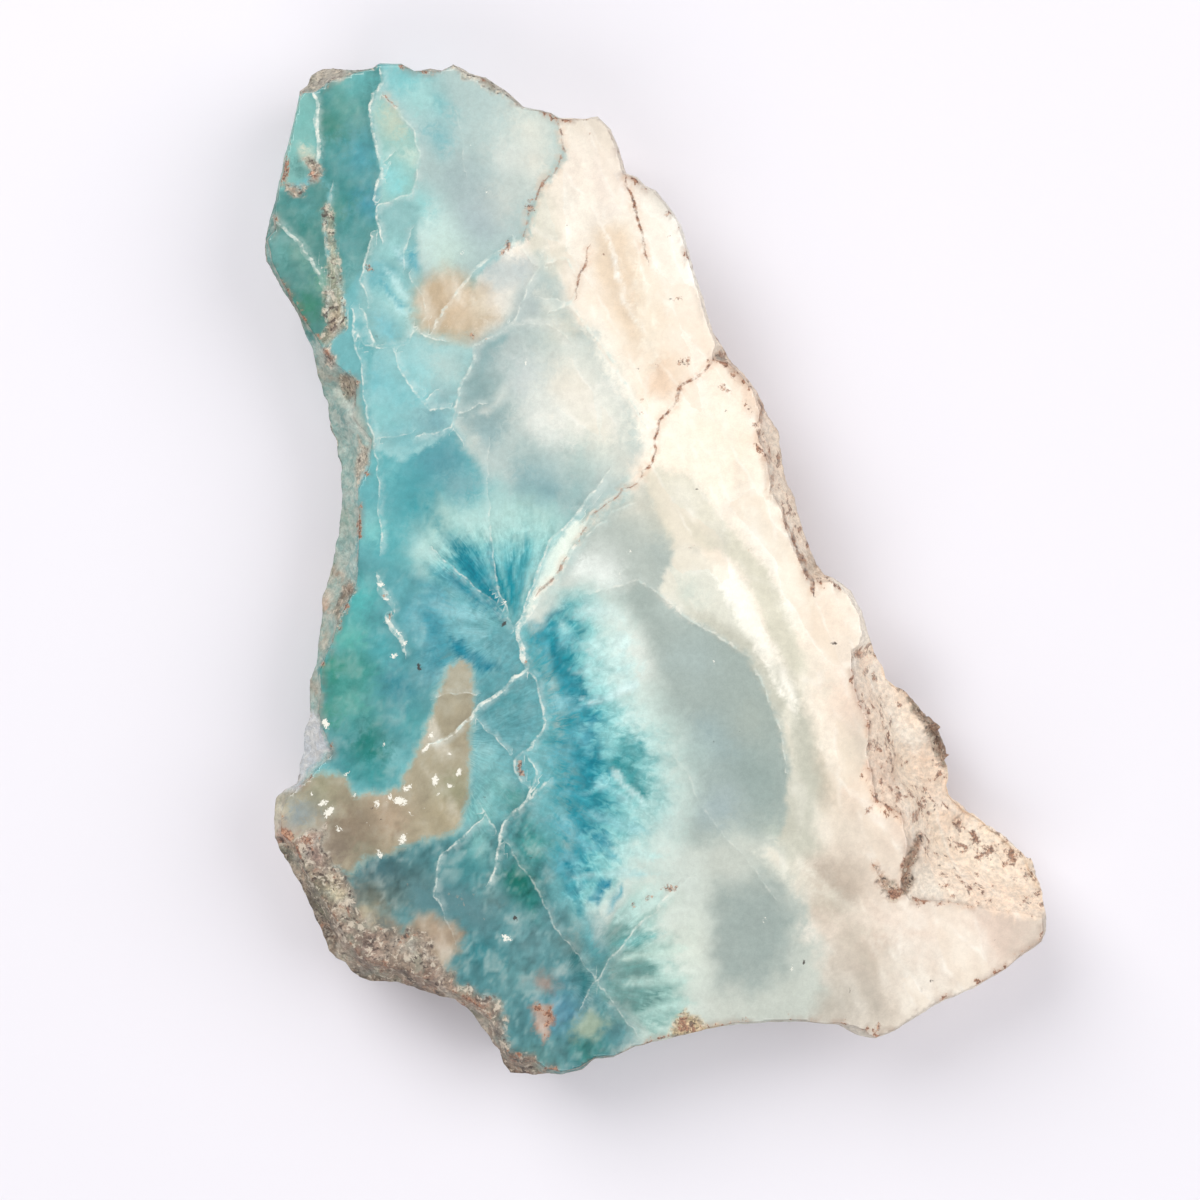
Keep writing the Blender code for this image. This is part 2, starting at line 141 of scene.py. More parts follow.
# areas of the stone, laid one over the other: outline in mm, colour, softness and wobble of the edge,
# and tints: x, y, reach, colour
areas = [
    # cream side
    {"soft": 60.0, "wobble": 0.0, "colour": (252, 243, 228), "outline": [(-60, -70), (-60, 70), (60, 70), (60, -70)],
     "tints": [(1, 35, 5, (255, 250, 238)), (7, 25, 4, (255, 240, 225)), (-5.4, 39, 3, (252, 240, 228)), (-4.4, 28, 3, (250, 236, 220)), (-1.6, 21.6, 2.2, (236, 217, 197)),
               (-10.8, 36.6, 1.8, (222, 219, 207)), (-10.2, 30, 2.0, (222, 217, 204)), (-13.8, 29.4, 2.0, (196, 206, 205)), (-16.6, 30, 1.4, (190, 203, 202)), (4, 20, 2, (246, 226, 208)),
               (8, 14, 4, (248, 233, 214)), (4, 12, 3, (251, 237, 218)), (17, -5, 3, (250, 234, 216)), (16.5, -20, 4, (208, 200, 182)), (14.4, -12, 3, (232, 228, 212)),
               (20, -22, 2, (244, 226, 208)), (18, -32, 4, (202, 189, 173)), (24, -38, 5, (227, 209, 193)), (34, -36, 4, (248, 228, 212)), (18, -43, 4, (210, 203, 190)),
               (12, -42.6, 3, (186, 190, 180)), (27, -25, 4, (238, 216, 198)), (20, -13, 3, (246, 226, 208))]},
    # broken grey wedge beside the long crack
    {"soft": 0.7, "wobble": 0.5, "colour": (181, 190, 183), "outline": [(-11, -1), (-8.5, 2.2), (-3.5, 7.2), (0.5, 9.5), (4.2, 6.5), (4.5, 1.5), (2.5, -2.5), (-6.5, -3.5), (-10, -4.5)],
     "tints": [(-6.4, -0.4, 2.2, (232, 238, 232)), (1.6, 6, 2.4, (222, 218, 202)), (0.6, 1.4, 1.6, (179, 189, 183)), (-2, 7, 1.2, (214, 213, 200))]},
    # sheets of the cream, drawn out beside the windows
    {"soft": 0.5, "wobble": 0.4, "colour": (222, 219, 202), "outline": [(-1.2, 9.4), (0.4, 10.6), (3.4, 9.6), (10.2, 1), (12.6, -2.4), (14, -5.6), (15.2, -9.6), (13.6, -11), (12, -8), (10.6, -4), (8.6, 0), (6.4, 1.8), (2, 2.4)],
     "tints": [(2.6, 7, 1.8, (228, 226, 212)), (6.4, 4, 1.2, (232, 230, 216))]},
    {"soft": 0.4, "wobble": 0.4, "colour": (226, 226, 213), "outline": [(2.2, 2.6), (5.4, 1.4), (8, -1), (10, -5.4), (9.6, -8.6), (3, -4.8), (0.6, -2.2)], "tints": [(3.4, -2.8, 1.4, (210, 217, 206))]},
    {"soft": 0.3, "wobble": 0.4, "colour": (254, 252, 240), "outline": [(5.4, 0.9), (7.6, 0.4), (9.2, -2.2), (10.4, -5), (11.4, -8.4), (10.4, -9), (6.8, -2.8)], "tints": []},
    {"soft": 0.9, "wobble": 0.5, "colour": (235, 213, 190), "outline": [(-0.8, 22), (1.4, 21.5), (2.8, 21.8), (3.6, 20.4), (2.2, 18.4), (0.8, 16.8), (-0.8, 17.4), (-1.4, 19.4)], "tints": []},
    {"soft": 1.3, "wobble": 0.6, "colour": (232, 215, 193), "outline": [(-5.4, 34), (-3, 35), (-1, 31), (1.2, 24), (-3.4, 21), (-5.6, 26), (-6.6, 31)], "tints": []},
    {"soft": 0.6, "wobble": 0.5, "colour": (216, 214, 200), "outline": [(-12.8, 36.4), (-11.2, 38.2), (-9.8, 36.4), (-9.2, 33), (-9.4, 30), (-10.4, 28), (-13, 32)], "tints": []},
    # clear grey windows
    {"soft": 1.1, "wobble": 0.5, "colour": (200, 200, 186), "outline": [(3, -3.8), (9, -6.4), (12.6, -10.4), (15.4, -15), (16.6, -21), (16.6, -28), (12, -31), (8, -26), (9, -18), (6, -9)], "tints": []},
    {"soft": 0.4, "wobble": 0.3, "colour": (168, 180, 174), "outline": [(-1.5, -1.1), (0.2, -2.2), (3, -4.7), (8.8, -8.2), (9.8, -9.5), (12.6, -16), (13.2, -20), (13.2, -24), (11.8, -27.6), (6, -30), (-4, -30), (-8, -20), (-4, -3)],
     "tints": [(9.6, -20.6, 3, (157, 172, 167)), (9.4, -15, 2, (172, 182, 174)), (2.4, -4, 1.8, (186, 198, 192)), (3.4, -9, 2, (174, 188, 184)), (5.4, -17, 2.4, (160, 178, 177)), (7.8, -28, 2.2, (192, 201, 193)), (12, -26.4, 1.2, (190, 199, 188)), (6, -23.6, 1.8, (168, 184, 184))]},
    {"soft": 1.3, "wobble": 0.9, "colour": (197, 203, 194), "outline": [(2, -28.6), (11.8, -26.6), (14.6, -31), (17, -42), (14, -47), (0, -47)], "tints": [(13.4, -30, 1.6, (214, 214, 200))]},
    {"soft": 2.0, "wobble": 0.9, "colour": (163, 175, 170), "outline": [(5.6, -31.4), (12, -30.6), (14, -34), (13.4, -39.6), (10, -42), (6, -41), (5, -36)], "tints": []},
    # white haze between the windows and the blue
    {"soft": 1.8, "wobble": 0.7, "colour": (206, 215, 207), "outline": [(-12, 0), (-3.6, -3.4), (-1.2, -5.6), (0, -10), (0.6, -14), (2.2, -17), (2.8, -20), (3.2, -23), (2.6, -26), (4.4, -29), (5.2, -37), (5, -47), (-14, -50), (-16, -30), (-14, -10)],
     "tints": [(1, -14, 2, (184, 200, 193)), (-3, -5, 2, (222, 231, 223)), (-1.4, -8.6, 2, (226, 232, 224)), (0.6, -24.4, 2, (188, 207, 204)), (3, -38, 2.6, (212, 219, 208))]},
    # blue side
    {"soft": 0.5, "wobble": 0.3, "colour": (122, 181, 184), "outline": [(-10.3, 47), (-9.2, 41.2), (-10, 40), (-11.5, 38.5), (-13.2, 33), (-15, 32.4), (-17.8, 29.6), (-18.5, 23), (-20, 17), (-20.3, 13), (-19, 9), (-19, 4), (-12, 3), (-11.7, -2.2), (-13, -5), (-11.4, -8), (-9, -20), (-9, -30), (-7, -34), (-5, -40), (-4, -50), (-20, -60), (-50, -50), (-50, 60), (-10, 60)], "tints": []},
    {"soft": 1.2, "wobble": 0.6, "colour": (160, 196, 194), "outline": [(-21, 10), (-9, 10), (-2.6, 9), (-3, 7.6), (-6, 5), (-11, -2), (-21, -2)], "tints": [(-15, 4, 3, (180, 215, 210))]},
    # deep blue-grey of the middle, down to the first fan
    {"soft": 1.6, "wobble": 0.7, "colour": (108, 173, 178), "outline": [(-28.4, 14.6), (-22, 14.6), (-19, 14), (-16.6, 10), (-17.5, 6), (-20, 3), (-22, -2), (-27, -1), (-29.6, 2), (-29.4, 8)],
     "tints": [(-27.8, 10.4, 1.6, (124, 189, 191)), (-24.2, 8.6, 2.0, (96, 166, 172)), (-23, 5, 1.6, (80, 159, 166)), (-21.4, 11, 2.0, (100, 156, 165)),
               (-28.6, 4, 1.2, (138, 202, 198)), (-25.4, 2, 2.0, (102, 176, 180)), (-19.6, 8.4, 1.4, (136, 178, 182))]},
    # middle cloud
    {"soft": 1.2, "wobble": 0.6, "mottle": 0.05, "colour": (186, 201, 197), "outline": [(-11.6, 31.4), (-14.4, 26.4), (-17, 24.4), (-21, 22.5), (-21.4, 15.3), (-18.4, 13.4), (-17, 10), (-14, 8), (-8, 5.6), (-5, 6.2), (-2.6, 8.6), (-1, 12.5), (-1.4, 15), (-4, 21), (-8.6, 26.6)],
     "tints": [(-8.4, 18, 3.6, (232, 230, 218)), (-5.4, 13.8, 2.4, (232, 231, 218)), (-11.4, 15, 2.2, (224, 228, 221)), (-13.6, 19.4, 1.8, (206, 213, 210)), (-18, 17.6, 2.4, (141, 169, 169)), (-17.4, 21.6, 1.4, (161, 180, 180)), (-12.8, 26.6, 1.6, (177, 189, 187)),
               (-14.8, 23, 1.4, (182, 194, 191)), (-9, 24.6, 1.6, (206, 208, 196)), (-17, 14.2, 1.6, (151, 177, 178)), (-12.4, 10.8, 1.8, (174, 193, 190)), (-7.4, 10.4, 1.6, (178, 197, 192)), (-3.2, 10.6, 1.4, (214, 217, 207)), (-12, 8, 1.8, (142, 176, 179)),
               (-8.4, 7.6, 1.4, (154, 184, 183))]},
    # upper middle, grey-blue
    {"soft": 0.5, "wobble": 0.4, "colour": (178, 198, 195), "outline": [(-27, 52), (-9.6, 52), (-9.6, 44), (-9.3, 41.3), (-11.5, 38.4), (-12.6, 36), (-13.2, 33.2), (-15, 32.6), (-18, 30.2), (-20.5, 27.4), (-22.4, 24), (-24, 24.5), (-27.5, 33), (-27.6, 40), (-28.2, 46)],
     "tints": [(-25.5, 49.5, 2.4, (132, 196, 198)), (-21.3, 46.6, 1.2, (126, 184, 187)), (-21.6, 43.4, 1.2, (132, 184, 188)), (-23.6, 47, 1.4, (168, 211, 208)), (-16.4, 46, 2.4, (184, 203, 200)), (-12.6, 44, 2.4, (218, 221, 211)),
               (-12.2, 40.4, 1.8, (220, 220, 209)), (-14.8, 41, 2, (212, 218, 211)), (-19.2, 39, 2.2, (166, 185, 185)), (-17.6, 35.4, 2.2, (170, 186, 188)), (-15, 37, 1.6, (195, 203, 197)), (-22.2, 34, 2, (202, 225, 219)), (-21.2, 31.4, 1.6, (196, 217, 208)), (-24, 36.6, 1.4, (156, 205, 203))]},
    # bright cyan petals
    {"soft": 0.4, "wobble": 0.3, "mottle": 0.05, "colour": (145, 188, 187), "outline": [(-27.6, 36.4), (-24.8, 37.4), (-23.6, 36), (-24, 33.5), (-22.6, 27.5), (-22.4, 24.2), (-26, 22.5), (-28.2, 22.3), (-29.5, 26), (-29.4, 30)],
     "tints": [(-26, 31.8, 1.2, (159, 205, 203)), (-24.2, 31, 0.8, (98, 170, 183)), (-27.4, 29.2, 0.9, (100, 172, 182)), (-26.6, 27.6, 1.4, (151, 200, 200)), (-25.2, 25.8, 1.2, (177, 215, 211)), (-27.2, 24.2, 1.0, (136, 196, 203))]},
    # cells under the tan stain
    {"soft": 0.22, "wobble": 0.25, "mottle": 0.06, "colour": (160, 203, 203), "outline": [(-28.2, 22.3), (-25, 22.7), (-24, 24), (-18.3, 22.4), (-18.2, 21), (-19.3, 18.8), (-20.3, 14.4), (-22, 12.5), (-25.5, 11), (-28.2, 12.5), (-28.9, 17)],
     "tints": [(-27.6, 19.4, 1.6, (126, 189, 195)), (-21, 20.4, 2, (182, 206, 202)), (-27.2, 15, 1.4, (138, 196, 197)), (-24.4, 20, 1.6, (158, 207, 208)), (-21.6, 17, 1.2, (160, 190, 190)), (-25.4, 17.6, 1.4, (136, 195, 199)), (-22.4, 14.4, 1.4, (128, 172, 178)), (-25, 13, 1.2, (132, 186, 190))]},
    # teal and green side above the tan inclusion
    {"soft": 1.2, "wobble": 0.8, "colour": (101, 160, 164), "mottle": 0.14, "outline": [(-30.4, 1), (-22, -1), (-19.5, -6), (-20.4, -9.5), (-22.5, -13.5), (-25, -20.5), (-28, -22.2), (-32, -21), (-34, -18), (-34.5, -9), (-32, -4)],
     "tints": [(-29.6, -3, 1.8, (102, 186, 184)), (-30.6, -6.6, 1.5, (108, 184, 174)), (-32.4, -10, 1.4, (58, 142, 122)), (-31.4, -12.6, 1.4, (78, 148, 140)), (-32.8, -14, 1.0, (66, 145, 126)), (-29.6, -13, 1.6, (100, 170, 160)), (-28.8, -17.2, 1.6, (40, 126, 116)), (-29.6, -10, 1.4, (84, 156, 146)),
               (-28.6, -20.4, 1.6, (80, 158, 158)), (-25.6, -11.4, 1.6, (82, 148, 158)), (-24, -5, 1.6, (112, 176, 184)), (-27.4, -8, 1.4, (98, 174, 178)), (-25.8, -19, 1.2, (126, 186, 188)), (-24.2, -15, 1.2, (98, 168, 170)), (-22.4, -10.4, 1, (118, 170, 178)), (-25.4, -1.6, 1.4, (112, 176, 182))]},
    # between the tan inclusion and the blue fans
    {"soft": 0.8, "wobble": 0.5, "colour": (112, 168, 174), "mottle": 0.1, "outline": [(-19.5, -7), (-14.5, -5.5), (-11.5, -11), (-11.2, -15.5), (-13.5, -19), (-12, -22), (-15, -25.5), (-18.6, -26.5), (-20, -24), (-18.6, -14)],
     "tints": [(-15, -13.4, 1.8, (98, 158, 163)), (-16.8, -18.6, 1.6, (142, 193, 194)), (-16, -22, 1.8, (132, 186, 184)), (-17.8, -24.6, 1.4, (134, 189, 186)), (-13.2, -23.6, 1.2, (70, 140, 132))]},
    # low, muddy blue
    {"soft": 1.1, "wobble": 0.8, "colour": (98, 148, 152), "mottle": 0.3, "outline": [(-31, -28), (-26, -26.8), (-20, -26.4), (-15.5, -25.5), (-12.6, -23), (-11, -25), (-10.4, -31), (-5.6, -39.4), (-4.6, -43), (-2, -47), (-8, -53), (-16, -53), (-20, -43), (-30, -37), (-32, -32)],
     "tints": [(-27.4, -30, 2.2, (86, 122, 128)), (-29.8, -32.6, 1.8, (128, 136, 130)), (-18.6, -29.4, 1.8, (88, 151, 154)), (-17.8, -27, 1.2, (130, 187, 184)), (-24.6, -32, 1.8, (112, 136, 134)), (-27.8, -33, 1.4, (124, 130, 120)), (-12, -36.6, 2.2, (118, 162, 165)),
               (-9.6, -44, 1.6, (106, 158, 176)), (-14.4, -41, 1.8, (112, 158, 160)), (-17, -38.6, 1.2, (74, 140, 146)), (-12.4, -27, 1.6, (84, 158, 154)), (-14, -30.9, 1.4, (26, 119, 104)), (-12.4, -33.2, 1.1, (56, 135, 128)), (-16.8, -33, 1.2, (122, 158, 158)),
               (-8, -37, 1.4, (120, 150, 148)), (-6.6, -48, 1.2, (80, 144, 138)), (-11.4, -49, 1.6, (112, 156, 154))]},
    # deep green-teal at the top left
    {"soft": 0.35, "wobble": 0.25, "mottle": 0.1, "colour": (89, 149, 147), "outline": [(-34, 47.6), (-33, 48.9), (-31, 49.9), (-28, 50.6), (-27.4, 49), (-28.6, 46), (-27.5, 39.8), (-28.1, 37), (-27.8, 35), (-28.6, 31), (-31.4, 27), (-33, 34.5), (-32.3, 38), (-33.7, 40.4)],
     "tints": [(-30.8, 49.4, 1.4, (124, 184, 178)), (-32.6, 44.6, 1.4, (66, 132, 118)), (-31, 46.8, 1.4, (98, 158, 150)), (-29.2, 41.4, 1.6, (94, 166, 176)), (-32.4, 42, 1.0, (100, 160, 158)), (-31.4, 36.4, 1.0, (78, 142, 130)), (-29, 36.6, 1.4, (92, 160, 174)), (-30.8, 32.4, 1.4, (104, 160, 160)), (-29, 48.6, 1.2, (112, 182, 182)), (-29.8, 29.4, 1.2, (128, 178, 176))]},
    # strip outside the first rib, and the left lobe
    {"soft": 0.3, "wobble": 0.2, "colour": (138, 190, 184), "outline": [(-36.4, 48.2), (-34.4, 47.8), (-34, 46.8), (-33.7, 41.2), (-33.9, 40), (-38.4, 37), (-38, 42)],
     "tints": [(-35.6, 45.6, 1.2, (128, 184, 178)), (-35.4, 40.2, 0.9, (98, 142, 138)), (-34.6, 42, 0.6, (212, 214, 196))]},
    {"soft": 0.3, "wobble": 0.2, "mottle": 0.12, "colour": (91, 144, 139), "outline": [(-40, 37), (-37.4, 38), (-35.4, 38), (-33.8, 39.4), (-32.5, 38.2), (-33.3, 34.5), (-33, 31.5), (-31.8, 29.5), (-31.4, 26.5), (-32, 24.2), (-33.6, 22), (-36, 24), (-40, 30)],
     "tints": [(-35.6, 36.6, 1.4, (96, 156, 154)), (-34.6, 26, 1.2, (76, 140, 118)), (-38, 32, 1.2, (120, 172, 168)), (-34.8, 34.4, 1.0, (76, 140, 134)), (-35.4, 31.4, 0.9, (122, 166, 156)), (-33.4, 28.8, 0.7, (120, 168, 148))]},
    # pale lens beside the white vein
    {"soft": 0.3, "wobble": 0.2, "colour": (156, 198, 192), "outline": [(-27.7, 47.6), (-26, 46.2), (-24.3, 44), (-23.7, 41.5), (-24.1, 38.5), (-24.8, 37.5), (-27.6, 36.6), (-27.4, 39.8), (-28.5, 46)],
     "tints": [(-26, 44.8, 1.2, (194, 204, 186)), (-26.4, 39, 1.2, (148, 208, 208)), (-24.4, 41.4, 0.8, (200, 220, 208))]},
    # milk-white wedge held between two veins
    {"soft": 0.15, "wobble": 0.15, "colour": (233, 242, 231), "outline": [(-13, -4.6), (-11.6, 0.4), (-10.4, 2.4), (-8.2, 4.8), (-7, 4.6), (-10.4, -1.2), (-11.6, -2.4), (-12.2, -3.8)], "tints": []},
]

# radiating fans: core gives (angle, reach of the core line, length of the tips),
# rows give (reach past the core line, colour, cover)
fans = [
    {"centre": (-14, -6), "from": 68, "to": 147, "streaks": 8, "spread": 0.7, "silk": 0.16, "warp": 0.35, "bend": 0.0, "seed": 1, "weave": 0.35, "core": [(68, 7.2, 1.0), (105, 7.8, 1.0), (125, 9.2, 1.0), (147, 8.8, 0.9)],
     "rows": [(-7.4, (110, 166, 168), 0.5), (-5.4, (84, 160, 166), 0.9), (-3, (70, 155, 164), 1), (-1, (88, 168, 175), 1), (0.8, (124, 193, 195), 1), (2.4, (157, 204, 200), 1), (4.4, (178, 211, 204), 0.9), (7, (172, 206, 203), 0)],
     "rays": [(126, 8, 2.4, 12, (22, 130, 147), 0.95), (117, 3, 2, 9.8, (32, 138, 153), 0.9), (107.5, 2.2, 2, 10.4, (32, 136, 151), 0.85), (95, 5, 1.5, 8.6, (46, 144, 158), 0.9), (84.5, 3, 2, 10, (70, 158, 168), 0.75), (113, 1.4, 5, 10.5, (140, 200, 202), 0.45),
              (100.5, 1.8, 3, 10, (150, 206, 206), 0.5), (89.6, 1.2, 3, 9, (140, 200, 202), 0.4), (76, 3.4, 1, 10, (176, 217, 213), 0.6), (141, 6, 1, 10.4, (34, 132, 149), 0.9), (134, 1.5, 5, 10.5, (118, 186, 192), 0.5)]},
    {"centre": (-14, -6), "from": 147, "to": 218, "streaks": 9, "spread": 0.8, "silk": 0.2, "warp": 0.4, "bend": 0.0, "seed": 2, "weave": 0.4, "core": [(147, 7, 1), (180, 6.4, 1), (218, 5.4, 1)],
     "rows": [(-6, (70, 140, 146), 0.5), (-4.4, (103, 165, 171), 0.85), (-2, (123, 180, 186), 0.95), (0, (118, 177, 184), 0.9), (1.6, (84, 158, 172), 0.85), (3.6, (94, 162, 174), 0.5), (5.4, (100, 166, 176), 0)],
     "rays": [(153, 7, 0.4, 3.6, (18, 104, 116), 0.95), (150, 2, 2.5, 6.5, (52, 142, 160), 0.8), (156, 2, 3, 8, (158, 206, 211), 0.5), (164, 5, 3, 9.6, (152, 203, 208), 0.75)]},
    {"centre": (-22, -17), "from": -50, "to": 50, "streaks": 12, "spread": 0.9, "silk": 0.22, "warp": 0.8, "bend": 0.07, "seed": 7, "weave": 0.8,
     "core": [(-50, 19, 0.7), (-42, 18.6, 0.6), (-33, 16.8, 1.0), (-22, 15.8, 1.1), (-8, 15.2, 1.2), (6, 14.8, 1.1), (14, 14.8, 0.8), (20, 15.0, 0.6), (27, 15.2, 0.7), (36, 15.4, 0.8), (50, 16, 0.7)],
     "rows": [(-5, (112, 170, 176), 0), (-3.4, (106, 170, 175), 0.7), (-2.0, (88, 162, 170), 0.95), (-0.6, (66, 152, 165), 1), (0.8, (64, 152, 166), 1), (2.0, (92, 172, 180), 1), (3.2, (126, 191, 193), 1), (4.6, (146, 203, 202), 1), (6.2, (178, 216, 212), 0.9), (8, (200, 222, 215), 0.6), (11, (206, 222, 214), 0)]},
    {"centre": (-9.5, -41), "from": -34, "to": 52, "streaks": 8, "spread": 0.9, "silk": 0.2, "warp": 0.8, "bend": 0.0, "seed": 11, "weave": 0.6, "core": [(-34, 6.8, 1.0), (52, 7.2, 0.9)],
     "rows": [(-4, (100, 148, 147), 0), (-2, (98, 144, 141), 0.85), (-0.4, (105, 150, 146), 0.9), (1.6, (115, 158, 153), 1), (3.8, (158, 196, 188), 0.9), (6, (206, 218, 208), 0.6), (8.6, (206, 216, 206), 0)]},
]

